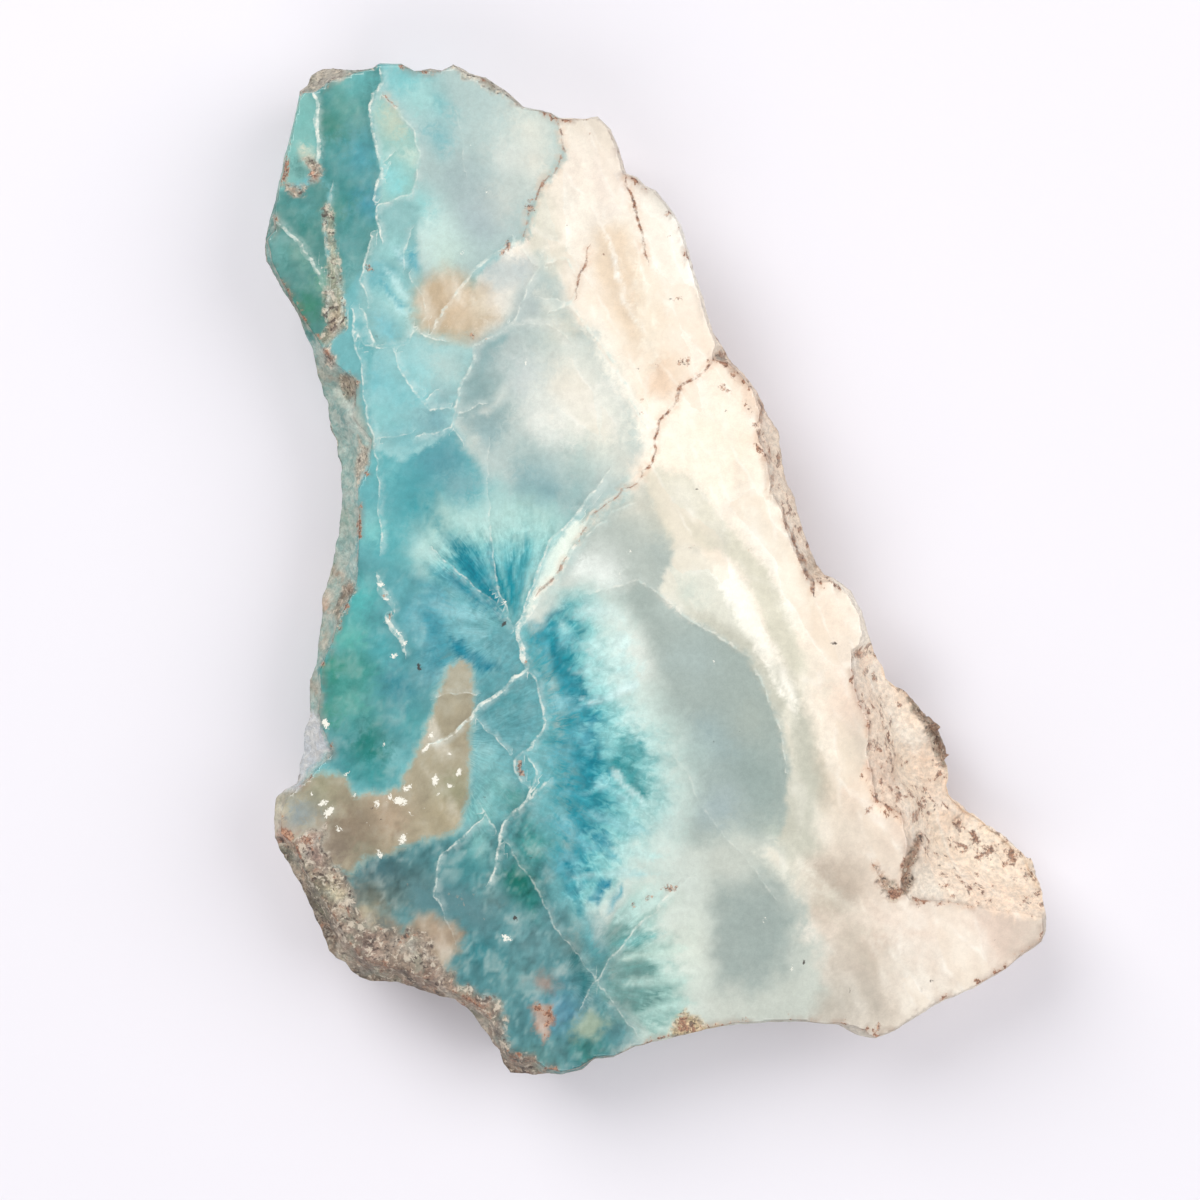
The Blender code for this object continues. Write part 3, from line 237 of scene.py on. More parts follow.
# soft brush strokes: width, softness, colour, strength, course
strokes = [
    # cream side: long sweeps along the broken edge
    (1.6, 0.6, (255, 252, 240), 0.9, [(9.8, -6), (12, -9.6), (13.4, -12.4), (14, -15)]),
    (2.4, 0.9, (255, 253, 242), 0.8, [(8.4, 8), (13, -1), (15.4, -7)]),
    (2.4, 1.4, (255, 246, 230), 0.5, [(10.6, 12), (12, 6), (16, -4)]),
    (2.0, 1.2, (255, 244, 228), 0.6, [(16.4, -11), (15.8, -14), (17.8, -18), (19.4, -22)]),
    (1.2, 0.8, (246, 243, 228), 0.6, [(13.2, -13), (13.4, -17), (14, -20)]),
    (2.0, 1.2, (240, 238, 224), 0.5, [(9, -27), (13.4, -29.4), (18.4, -33.4), (24, -37)]),
    (1.6, 1.0, (255, 250, 236), 0.6, [(-7.4, 42), (-7, 38), (-7.2, 34)]),
    (2.0, 1.0, (255, 252, 238), 0.7, [(-1, 31), (-0.4, 22), (-2.4, 18.4)]),
    (1.4, 0.8, (255, 250, 238), 0.6, [(-10.8, 31.4), (-9, 33.6), (-9.4, 38), (-8.6, 41)]),
    (1.8, 0.9, (255, 250, 236), 0.8, [(-7.4, 25), (-5, 22), (-1.6, 15.6), (-0.4, 11)]),
    (2.6, 1.8, (248, 234, 220), 0.5, [(15, -36), (20, -35), (33, -36)]),
    (2.6, 1.6, (200, 196, 180), 0.35, [(14, -31), (22, -38.6), (27, -40.6)]),
    (0.5, 0.2, (255, 253, 244), 0.9, [(-3.2, 38), (-1.4, 34.4), (0.2, 30), (2, 23.6)]),
    (0.4, 0.2, (255, 253, 244), 0.8, [(-5.2, 36), (-4.6, 32), (-3.6, 28), (-1.4, 24)]),
    (2.8, 0.9, (255, 252, 243), 0.7, [(2, 36), (4, 31), (5.2, 26.6), (5.6, 23.4)]),
    # the cloud's left border, and cell walls
    (1.6, 0.6, (149, 177, 177), 0.8, [(-14, 24), (-16.6, 22.4), (-17.8, 20.4), (-18.8, 18), (-19.4, 15.8), (-18.6, 14)]),
    (3.4, 2.0, (240, 239, 230), 0.6, [(-12, 14.6), (-8.6, 15.6), (-5, 17.2), (-4, 13)]),
    (0.9, 0.5, (222, 226, 218), 0.5, [(-18.2, 15.4), (-16, 16.8), (-14.4, 18.6)]),
    (1.0, 0.5, (226, 228, 220), 0.6, [(-14.6, 24.6), (-12, 24.9), (-10, 24.2), (-9.2, 22.8), (-6.4, 22.4)]),
    (1.2, 0.8, (222, 222, 210), 0.6, [(-12.4, 28.6), (-11, 27.2), (-10.4, 25.4)]),
    (1.8, 1.2, (196, 212, 209), 0.5, [(-17.8, 13), (-16.8, 10.6), (-16.8, 8)]),
    # light sheen across the petals
    (0.5, 0.2, (198, 230, 228), 0.8, [(-27, 30.2), (-25.6, 28), (-23.8, 26.4)]),
    (0.4, 0.2, (190, 226, 225), 0.8, [(-27, 27.8), (-25.4, 25.8), (-23.6, 25)]),
    (0.5, 0.2, (184, 222, 224), 0.7, [(-26.8, 33), (-25.6, 31), (-24.6, 30)]),
    (0.5, 0.2, (96, 170, 182), 0.7, [(-27.2, 29), (-25.8, 26.8), (-24.2, 25.6)]),
    # above the upper fan
    (3.0, 1.6, (180, 216, 211), 0.7, [(-20.8, 3.8), (-18.4, 5), (-14.4, 5.2), (-10.4, 4)]),
    (2.2, 1.2, (134, 172, 176), 0.5, [(-15, 8.2), (-12, 7.6), (-9.4, 7)]),
    (1.4, 0.8, (170, 206, 203), 0.6, [(-24.2, -0.6), (-22.8, 1.6), (-21.2, 3.6)]),
    (1.6, 0.8, (76, 157, 165), 0.7, [(-23.4, 7), (-22.6, 5), (-22.8, 3.6)]),
    # under the upper fans
    (1.3, 0.5, (38, 130, 150), 0.85, [(-20.6, -6), (-19.2, -8.6), (-15.6, -10)]),
    (1.9, 0.8, (76, 152, 166), 0.8, [(-23.8, -4.6), (-22.4, -6), (-21, -7.8)]),
    (0.9, 0.5, (158, 202, 204), 0.6, [(-24.4, -4), (-23.8, -6), (-23.4, -8)]),
    # deep streaks of the blue band
    (0.6, 0.25, (48, 142, 155), 0.8, [(-10.6, -4.8), (-10.6, -6.4), (-10.1, -7.6), (-10.4, -9)]),
    (1.3, 0.4, (30, 130, 146), 0.9, [(-10, -6.6), (-9.6, -9), (-8.3, -12), (-5.6, -13)]),
    (1.1, 0.4, (40, 140, 152), 0.8, [(-8.2, -7.9), (-8.8, -8.4), (-8.8, -9.4)]),
    (0.9, 0.35, (32, 130, 152), 0.9, [(-5.7, -14.2), (-6.5, -15.4), (-6.9, -16.8), (-7.6, -17.6)]),
    (1.3, 0.5, (40, 134, 150), 0.85, [(-5.8, -16), (-6.2, -18.6), (-6.8, -20.4), (-6.2, -22.4)]),
    (1.0, 0.5, (48, 140, 155), 0.8, [(-8.1, -18), (-7.5, -20), (-6.9, -21.8)]),
    (2.6, 1.1, (82, 158, 162), 0.75, [(-4, -16.6), (-2.6, -17.6), (-0.8, -18.6)]),
    (1.7, 0.6, (58, 144, 148), 0.9, [(-5, -19.4), (-3.2, -19.8), (-0.6, -23.2)]),
    (0.9, 0.4, (64, 148, 158), 0.8, [(-6.4, -22), (-4.8, -22.8), (-3.4, -23.2)]),
    (0.9, 0.35, (44, 136, 152), 0.9, [(-7.4, -25.4), (-6, -26.5), (-4.6, -27.3)]),
    (0.8, 0.4, (46, 142, 164), 0.8, [(-6.6, -26.2), (-5.4, -27), (-3.8, -29.4)]),
    (0.6, 0.25, (26, 126, 142), 0.9, [(-9.2, -29), (-7.8, -29.7), (-6.6, -30.5)]),
    (1.2, 0.4, (40, 136, 160), 0.9, [(-4.9, -31), (-5.7, -32.2), (-6.8, -33.4)]),
    (0.6, 0.3, (88, 164, 178), 0.7, [(-3.7, -31.6), (-4.2, -33.2), (-4.8, -34.4)]),
    (0.9, 0.4, (66, 148, 160), 0.8, [(-8.6, -31), (-8.1, -32.6), (-7.4, -34.6)]),
    (2.2, 1.1, (78, 146, 154), 0.6, [(-7.2, -34), (-6.2, -36), (-5.6, -38), (-6.2, -39.6)]),
    (1.0, 0.4, (30, 106, 110), 0.85, [(-8.6, -38), (-6.9, -41.4), (-6.8, -43.6)]),
    # white plumes between them
    (0.8, 0.4, (222, 243, 241), 0.9, [(-7.6, -12.7), (-5.6, -12.9), (-3.6, -12.2), (-1.4, -10.6)]),
    (1.2, 0.6, (172, 216, 216), 0.8, [(-9, -5), (-9, -6.6), (-8, -7.2)]),
    (2.8, 1.3, (198, 231, 228), 0.8, [(-8, -9.8), (-5, -10), (-1.6, -9.6)]),
    (1.8, 0.8, (214, 238, 234), 0.8, [(-7.8, -7.4), (-5, -7.6), (-1.6, -7.4)]),
    (1.6, 0.8, (208, 231, 228), 0.8, [(-8.4, -4), (-6, -4), (-3, -4.8)]),
    (0.8, 0.35, (148, 200, 205), 0.8, [(-10.2, -12.4), (-9.2, -13.6), (-8.7, -14.8)]),
    (0.9, 0.4, (118, 184, 194), 0.7, [(-7, -15.8), (-7.1, -17), (-6.9, -18.6)]),
    (1.4, 0.7, (150, 204, 204), 0.7, [(-5.4, -15.4), (-5, -17.4), (-4.6, -19)]),
    (0.5, 0.2, (200, 228, 226), 0.9, [(-4.6, -19.8), (-0.8, -24)]),
    (0.5, 0.25, (168, 212, 214), 0.8, [(-6.4, -21.4), (-4.4, -22.1), (-2.6, -23.3)]),
    (1.1, 0.5, (160, 208, 212), 0.7, [(-7.6, -23.9), (-3.4, -25.6), (-0.6, -26)]),
    (0.6, 0.3, (150, 204, 210), 0.7, [(-9.8, -24.6), (-7.1, -27.2), (-5.4, -27.9)]),
    (0.9, 0.4, (192, 225, 221), 0.8, [(-4.8, -28.2), (-2, -28.4), (0.8, -28.6)]),
    (0.7, 0.35, (184, 220, 219), 0.8, [(-8.4, -31), (-3, -30.3), (0.4, -30.5)]),
    (2.0, 0.9, (196, 224, 217), 0.8, [(-4, -35.4), (-0.4, -32.8), (1.4, -31.8)]),
    # lower fan
    (0.8, 0.4, (112, 178, 176), 0.8, [(-4.4, -37.8), (-1.8, -36.8), (0.6, -36.3)]),
    (1.0, 0.5, (202, 224, 213), 0.8, [(-3.6, -38.8), (0, -38.2), (3.6, -37.6)]),
    (0.9, 0.4, (194, 219, 210), 0.8, [(-3.4, -41.4), (0.6, -41), (4, -41)]),
    (1.0, 0.5, (184, 214, 206), 0.8, [(-2.2, -44.4), (1.4, -43.8), (4, -43)]),
]

# tan, olive and rust inclusions that cover the blue
inclusions = [
    # tan finger
    {"soft": 0.2, "wobble": 0.4, "colour": (178, 170, 148), "edge": (190, 204, 190), "mottle": 0.13, "outline": [(-19.7, -8.9), (-20.5, -9.8), (-25.6, -21.8), (-29.8, -22.9), (-31.5, -20.6), (-33, -20.4), (-35, -21), (-38.6, -22.4), (-39.4, -27), (-36, -29), (-33, -29.5), (-30.6, -30.4), (-29.4, -29), (-26, -27.6), (-21, -26.6), (-19.6, -25.4), (-19, -23.6), (-18.1, -12.5), (-18.5, -9.8), (-19.1, -8.9)],
     "tints": [(-20, -11, 1.6, (180, 176, 158)), (-21, -17, 2, (174, 166, 144)), (-20, -22, 1.4, (160, 160, 134)), (-21.6, -25, 1.8, (182, 172, 146)), (-27, -25, 2.0, (184, 166, 144)), (-30.6, -26, 1.8, (154, 140, 122)), (-33.6, -22, 1.6, (160, 158, 134)), (-35.4, -24.4, 1.4, (150, 162, 164)), (-37.2, -26.4, 0.8, (180, 108, 76)), (-37.6, -23.6, 0.7, (208, 200, 174)), (-32.4, -28, 1.6, (150, 138, 124)), (-28.8, -28.4, 1.0, (146, 144, 126))]},
    # second tan blob
    {"soft": 0.7, "wobble": 0.8, "colour": (172, 158, 138), "mottle": 0.2, "outline": [(-25.6, -36), (-23.6, -34.6), (-21.4, -34.6), (-19.7, -36), (-19.6, -38), (-21, -42), (-26, -42), (-30, -38.5), (-31, -35), (-29.5, -33), (-27, -33.4)],
     "tints": [(-21.8, -36.6, 1.6, (182, 164, 144)), (-28.2, -33.8, 1.1, (182, 176, 150)), (-26.6, -36.4, 1.2, (112, 128, 126))]},
    # tan stain at the top
    {"soft": 1.3, "wobble": 0.4, "colour": (197, 180, 154), "mottle": 0.06, "outline": [(-24, 27.6), (-23, 29.2), (-21, 30.2), (-18.6, 29.4), (-17, 27.6), (-16.2, 25.4), (-17.4, 23.8), (-19.4, 22.8), (-22.4, 23.2), (-24, 24.4)],
     "tints": [(-19.4, 26, 1.6, (212, 193, 167)), (-17.2, 26.4, 1.4, (216, 206, 186))]},
    {"soft": 0.7, "wobble": 0.8, "colour": (160, 178, 160), "mottle": 0.12, "outline": [(-8.2, -44.6), (-6.8, -43.8), (-5.6, -44.4), (-4.8, -46), (-5.8, -47), (-7.6, -47.2), (-8.4, -46)], "tints": []},
    # rusty speck with a pale rim
    {"soft": 0.3, "wobble": 0.8, "specks": 1.0, "mottle": 0.2, "colour": (156, 122, 104), "outline": [(-12.6, -45.2), (-12.2, -43.8), (-11.2, -43.4), (-10.6, -44.8), (-10.6, -46), (-11.4, -47.6), (-11.4, -46), (-12.4, -45.8)], "tints": []},
    {"soft": 0.8, "wobble": 0.8, "mottle": 0.15, "colour": (160, 150, 142), "outline": [(-12.2, -40.8), (-11.4, -40), (-10, -40.2), (-9.6, -41.2), (-10.6, -42), (-11.8, -41.8)], "tints": []},
    # matrix at the lower left
    {"soft": 0.7, "wobble": 0.9, "crumbs": 1.0, "specks": 0.5, "mottle": 0.3, "colour": (170, 154, 138), "outline": [(-42, -24.6), (-38.4, -26.6), (-36, -27.4), (-35.4, -26.2), (-33.2, -26), (-33, -28), (-32, -30), (-30.6, -31.4), (-30.6, -33.4), (-29.4, -34.6), (-27, -36.2), (-24.6, -36.2), (-22.8, -37.2), (-20.6, -39.4), (-19.6, -41.6), (-16, -42.6), (-15.4, -47), (-14.8, -48.6), (-12.4, -49), (-10.4, -50.8), (-14, -56), (-44, -46)],
     "tints": [(-37.2, -27, 0.9, (186, 112, 78)), (-35.6, -30.6, 0.8, (198, 178, 156)), (-31.4, -38.2, 0.9, (196, 178, 158)), (-34.4, -28, 1.2, (180, 154, 142)), (-32.2, -32.2, 1.1, (206, 196, 168)), (-33.8, -32, 0.8, (122, 126, 106)), (-33.6, -34.2, 0.7, (112, 116, 96)), (-36.8, -29, 1.0, (138, 140, 122)), (-29.6, -37.6, 1.4, (168, 142, 130)), (-23, -41, 1.2, (172, 144, 128)),
               (-29.4, -40.6, 1.0, (112, 92, 80)), (-24.2, -41.6, 0.8, (116, 96, 84)), (-17.4, -43.4, 0.8, (140, 110, 98)), (-17, -45.6, 1.0, (182, 160, 144)), (-14, -49.4, 1.2, (150, 130, 114)), (-33.2, -36.6, 0.6, (98, 78, 70))]},
    # matrix cap at the top left
    {"soft": 0.15, "wobble": 0.2, "crumbs": 0.6, "mottle": 0.1, "colour": (192, 186, 174), "outline": [(-37.5, 48.4), (-36.2, 47.6), (-33.4, 48.1), (-32.7, 49), (-31.6, 48.8), (-30.2, 49.7), (-28.2, 50.2), (-27.8, 53), (-36, 53)],
     "tints": [(-32, 50.2, 0.6, (156, 138, 120)), (-30, 50, 0.7, (160, 182, 172))]},
    # crumbly strips along the top edge and the shoulders
    {"soft": 0.25, "wobble": 0.7, "crumbs": 0.7, "specks": 0.6, "colour": (206, 201, 188), "outline": [(-27, 50.5), (-24, 49.9), (-20.5, 50.1), (-17.5, 49.1), (-14, 46.9), (-10.2, 45.4), (-9.4, 47), (-20, 54), (-27, 53)], "tints": [(-24, 50.4, 1.0, (160, 160, 146))]},
    {"soft": 0.25, "wobble": 0.6, "crumbs": 0.2, "specks": 0.8, "colour": (236, 214, 194), "outline": [(5.6, 22), (6.6, 20.4), (8, 19.2), (9.4, 16), (9.8, 13), (10.6, 10.6), (14, 12), (8, 24)], "tints": [(6.8, 21, 0.8, (150, 122, 104))]},
    {"soft": 1.4, "wobble": 0.8, "crumbs": 0.1, "specks": 0.45, "colour": (104, 142, 146), "outline": [(-24, -31), (-20, -32), (-16, -34), (-16.4, -36), (-20, -35), (-24, -34.4)], "tints": []},
    {"soft": 0.25, "wobble": 0.6, "crumbs": 0.7, "specks": 0.7, "colour": (214, 194, 158), "outline": [(1.8, -45), (2.8, -44.4), (4.4, -44.9), (5.6, -45.8), (7.6, -46), (7.6, -47), (2, -47)], "tints": []},
    # rough spots along the ribs
    {"soft": 0.3, "wobble": 0.5, "crumbs": 0.8, "colour": (158, 164, 144), "outline": [(-33.5, 36.4), (-32.6, 37), (-32, 31), (-31.4, 29), (-31.2, 24.4), (-32.2, 22.6), (-33.4, 22), (-32.9, 24), (-33.2, 26), (-32.6, 29), (-33.1, 31)],
     "tints": [(-32.4, 31.4, 0.7, (198, 196, 172)), (-32.2, 25, 1.2, (186, 166, 142)), (-32, 23.4, 0.6, (150, 122, 100))]},
    {"soft": 0.3, "wobble": 0.5, "crumbs": 0.8, "colour": (178, 158, 140), "outline": [(-35.4, 41.2), (-34, 41), (-33.2, 40.2), (-33.6, 39.2), (-34.8, 38.8), (-35.4, 37.6), (-36.6, 37.6), (-36.8, 38.4), (-35.2, 38.2), (-34.4, 39.4), (-34.2, 40.2)], "tints": [(-33.8, 40, 0.4, (168, 112, 90))]},
    # facet under the left lobe: grey-teal, with a bright ridge and pitted hollows
    {"soft": 0.2, "wobble": 0.2, "colour": (150, 178, 172), "outline": [(-36, 23), (-33.6, 22.6), (-32.6, 22), (-31.4, 20), (-30, 18.4), (-29, 15), (-28.2, 13.4), (-28.7, 10.6), (-29.6, 8.4), (-29.6, 4), (-30, 1.6), (-30, -2), (-31.6, -4), (-32.6, -7.4), (-33.8, -10), (-33.4, -12.4), (-34, -15), (-40, -15), (-38, 0)],
     "tints": [(-32.4, 16, 1.4, (128, 158, 154)), (-33.8, 20, 0.8, (140, 138, 124)), (-31.4, 4.6, 1.0, (146, 168, 156)), (-32.6, 0, 0.9, (186, 164, 144)), (-33.4, -3.4, 0.9, (204, 172, 150)), (-33, -7, 0.8, (176, 166, 146)), (-34.2, -12, 0.8, (150, 138, 118)), (-31, 0.6, 0.8, (156, 188, 184))]},
    {"soft": 0.25, "wobble": 0.2, "colour": (194, 209, 200), "outline": [(-32, 18.4), (-29.6, 15), (-28.6, 13), (-28.8, 12.6), (-32.6, 18)], "tints": []},
    {"soft": 0.2, "wobble": 0.35, "crumbs": 1.0, "colour": (178, 164, 144), "outline": [(-31.8, 19.4), (-30.8, 19.6), (-30, 18.6), (-30.4, 17.2), (-31.2, 16.8), (-31.8, 18)], "tints": []},
    {"soft": 0.2, "wobble": 0.35, "crumbs": 0.7, "colour": (204, 194, 176), "outline": [(-29.8, 13.6), (-28.8, 12.2), (-28.8, 10.6), (-29.6, 9.4), (-29.6, 8.2), (-30, 9), (-30.4, 11), (-29.6, 12.4)], "tints": []},
    {"soft": 0.2, "wobble": 0.3, "crumbs": 0.8, "colour": (208, 196, 180), "outline": [(-33.4, 22.2), (-32.6, 22.2), (-32.2, 21), (-32.4, 20.2), (-33.4, 20.4)], "tints": [(-33, 22, 0.4, (140, 96, 76))]},
    {"soft": 0.25, "wobble": 0.4, "crumbs": 1.0, "colour": (166, 146, 128), "outline": [(-30.6, -1.2), (-30.2, -2.2), (-31.2, -3.2), (-32, -4.8), (-32, -6), (-32.4, -4.4), (-31.4, -1.8)], "tints": []},
    # clear grey chip on the left edge
    {"soft": 0.2, "wobble": 0.2, "colour": (196, 200, 204), "outline": [(-34.6, -14.2), (-33.8, -15), (-33.4, -16.4), (-32.6, -17.8), (-35, -20.4), (-36, -22), (-38, -22), (-38, -15)],
     "tints": [(-34.8, -15, 0.5, (222, 224, 224))]},
    # broken corner on the right: warm tan with brown crumbs
    {"soft": 0.3, "wobble": 0.6, "crumbs": 0.1, "specks": 0.75, "mottle": 0.06, "colour": (255, 232, 210), "outline": [(19.6, -8), (20.8, -11), (20.4, -15), (21, -19), (20.6, -21), (22.4, -24), (24.8, -25.2), (26.6, -28), (28, -31.4), (29.2, -33.6), (37.4, -34.6), (44, -33), (40, -10), (24, -8)],
     "tints": [(26.6, -17.2, 1.2, (244, 236, 224)), (22.6, -20, 1.2, (232, 206, 186)), (29.4, -17.6, 0.9, (156, 128, 112)), (24.6, -22.4, 1.2, (238, 212, 190)), (33, -28, 2.4, (252, 236, 216)), (28.4, -22, 1.2, (236, 214, 194)), (22, -13.6, 1.0, (232, 206, 184))]},
    {"soft": 0.25, "wobble": 0.7, "crumbs": 0.8, "specks": 1.0, "colour": (176, 142, 120), "outline": [(22, -29.6), (23, -31.2), (24.2, -32), (25.2, -28.6), (26.4, -26), (27, -26.4), (24.9, -32.6), (23.8, -32.8), (22.4, -31)], "tints": []},
    {"soft": 0.25, "wobble": 0.4, "crumbs": 0.9, "specks": 0.9, "colour": (158, 132, 115), "outline": [(24.2, -12.2), (26, -13.4), (27.6, -15.4), (28.2, -17.4), (28.4, -19.4), (29.4, -20.6), (32, -19), (30, -12), (25, -9)], "tints": []},
    # rough strip on the right shoulder
    {"soft": 0.3, "wobble": 0.4, "crumbs": 0.2, "specks": 0.85, "mottle": 0.1, "colour": (238, 218, 198), "outline": [(9.8, 13), (11, 12), (11.8, 9), (15.4, -0.8), (16.6, -1.8), (19, 0), (16, 8), (12, 16)], "tints": [(15.2, 0.6, 0.8, (184, 158, 134))]},
]


# white veins and healed cracks: width and strength of each, then its course
veins = [
    (0.6, 0.95, [(-8, 3), (-9.7, -0.7), (-11.7, -2.2), (-12, -3.4), (-13.8, -5.8)]),
    (0.75, 1.0, [(-13.9, -5.6), (-13.5, -8), (-12.8, -9.8)]),
    (0.46, 1.0, [(-12.8, -9.7), (-13.3, -10.3), (-14.3, -10.8), (-15.9, -12.5), (-17, -13), (-17.8, -13.7), (-18.1, -14.4), (-21, -16.8), (-22.2, -17.2)]),
    (0.28, 0.9, [(-4.8, 9.9), (-7.9, 5.6), (-10.3, 3.2), (-11.3, 1.5), (-13.8, -5.6)]),
    (0.22, 0.7, [(-3, 8.2), (-4.6, 7.4), (-6, 6.2), (-7.6, 4.2)]),
    (0.26, 0.5, [(-2.2, 6.8), (-4, 6), (-8, 2.3)]),
    (0.2, 0.75, [(-13.8, -5.8), (-16.2, -3.2), (-22.3, 2)]),
    (0.22, 0.6, [(-14.2, -5.8), (-15, -3.5), (-15.8, -2.2), (-16.4, 2), (-16.7, 6)]),
    (0.14, 0.35, [(-16.7, 6), (-16.8, 9), (-16.7, 13)]),
    (0.3, 0.75, [(-12.8, -10), (-12.1, -10.8), (-11.6, -12.5), (-11.2, -14), (-11.15, -15.7), (-12.5, -17.8), (-14, -18.8), (-14.3, -19.6), (-14.1, -20.3), (-12.4, -21.9)]),
    (0.3, 0.85, [(-13, -18.4), (-12, -20.2), (-12, -21.2), (-12.8, -22.8), (-15.3, -25.5), (-15.6, -26.5), (-16.1, -30.4), (-16.6, -31.1)]),
    (0.24, 0.7, [(-10.7, -21.1), (-11.8, -22), (-12.5, -23), (-14, -24)]),
    (0.2, 0.7, [(-18.1, -14.3), (-17.7, -15.3), (-16.5, -16.3), (-14.6, -18.7)]),
    (0.2, 0.6, [(-16, -26), (-16.8, -24.7), (-17.5, -23.5)]),
    (0.24, 0.75, [(-17.4, -24.8), (-20.3, -27.6), (-21.3, -28.2), (-21.8, -29.5), (-22.1, -32.5), (-21.5, -33.5)]),
    (0.16, 0.35, [(-21.5, -33.5), (-20.8, -35.5), (-20.2, -37)]),
    (0.2, 0.4, [(-15.5, -26.5), (-12.3, -31.3), (-10, -35.7), (-2, -46.3)]),
    (0.24, 0.6, [(3.5, -30.8), (1.2, -32.5), (0, -34), (-2, -35.7), (-6.4, -41.5), (-7.3, -43.5)]),
    (0.2, 0.3, [(1.4, -18), (3.5, -21), (4.5, -23.5), (7.2, -27), (10, -30), (12, -33)]),
    (0.3, 0.5, [(-6.5, -2.3), (-1.8, -1), (0.2, -2.2), (3, -4.7), (8.8, -8.2), (9.8, -9.5), (12.6, -16), (13, -20)]),
    # crusty chain in the teal
    (0.7, 0.8, [(-27.9, -0.8), (-27.5, -2), (-26.7, -3), (-26.3, -4)]),
    (0.6, 0.75, [(-26.9, -4.8), (-26.5, -5.8), (-25.6, -6.6), (-25.2, -8.2)]),
    # left: the long white vein and the ribs
    (0.34, 0.9, [(-27.6, 50), (-27.3, 49), (-27.9, 47.7), (-28.5, 47.5), (-28.7, 46), (-28.2, 43), (-27.6, 41), (-27.5, 39.8), (-28.1, 37), (-27.5, 33.2)]),
    (0.2, 0.7, [(-27.6, 39), (-26.6, 40.3)]),
    (0.2, 0.7, [(-27.5, 40.5), (-26.3, 41.7)]),
    (0.24, 0.6, [(-27.7, 47.6), (-26, 46.2), (-24.3, 44), (-23.7, 41.5), (-24.1, 38.5), (-24.8, 37.5), (-27.8, 36.5)]),
    (0.6, 1.0, [(-34.4, 47.5), (-34, 46.8), (-33.7, 41.2), (-33.8, 40.3)]),
    (0.5, 0.8, [(-38, 35), (-36.2, 33.2), (-34.6, 31), (-32.7, 27.5), (-33, 25.5)]),
    (0.4, 0.35, [(-32.4, 38.3), (-33.3, 34.5), (-33, 31.5), (-31.8, 29.5), (-31.3, 26.5), (-31.8, 24.3), (-33.2, 22.3)]),
    (0.22, 0.8, [(-28.5, 33.5), (-29.6, 29), (-28.9, 27)]),
    (0.3, 0.85, [(-30.3, 26), (-30.2, 24), (-29.2, 22.7), (-27.9, 22.3), (-29.3, 26)]),
    (0.2, 0.7, [(-30.4, 24), (-29.5, 20), (-29, 16), (-28.2, 13.4), (-27.8, 10), (-27.8, 6), (-27.4, 4), (-27.6, 2)]),
    (0.2, 0.5, [(-28, 13.3), (-26.2, 13.3), (-24.4, 13.8)]),
    (0.2, 0.5, [(-25.1, 30), (-25.3, 31.5), (-24.4, 34)]),
    (0.2, 0.45, [(-24.6, 29.6), (-23.2, 27.4), (-23, 25.6), (-24, 24)]),
    # pale border of the middle cloud, and the cells beside it
    (0.3, 0.6, [(-10.9, 30.8), (-11.7, 30.1), (-12.9, 28.2), (-13.3, 27), (-13.8, 26.3), (-14, 25), (-14.8, 24.3), (-18.3, 22.3), (-18.2, 21), (-19.5, 18.5), (-20.3, 14.4), (-19.5, 13)]),
    (0.2, 0.75, [(-20.3, 14.4), (-21.4, 13.8), (-23.6, 13.4)]),
    (0.22, 0.75, [(-22, 18), (-23.1, 16.7), (-22.7, 16.1), (-20.2, 16.1)]),
    (0.18, 0.75, [(-20.1, 15.5), (-17.5, 16.6)]),
    (0.2, 0.75, [(-26.5, 22.2), (-25, 22.7), (-24.4, 24.2), (-23.2, 23.4), (-21, 22.8)]),
    (0.18, 0.75, [(-26.4, 22), (-25, 19), (-23.2, 16.8)]),
    (0.4, 0.7, [(-10.2, 26), (-8.4, 26.4), (-5, 22), (-3.7, 20), (-2.6, 17.3), (-1.2, 14.6)]),
    (0.3, 0.6, [(-14, 33), (-12, 30.4), (-9, 31.2), (-7.6, 28.8), (-8.6, 26.6), (-11.6, 27.4)]),
    (0.2, 0.35, [(-14.6, 24.6), (-11, 24.8), (-8, 22.6)]),
    (0.4, 0.7, [(-13.2, 33), (-15, 32.6), (-16.8, 31), (-18, 30.2), (-20, 27.9), (-22.3, 24.2)]),
    (0.2, 0.75, [(-22, -12.7), (-20.5, -12.3), (-18.2, -12.3)]),
    (0.18, 0.3, [(-20, 46), (-19.4, 43), (-19, 40)]),
]

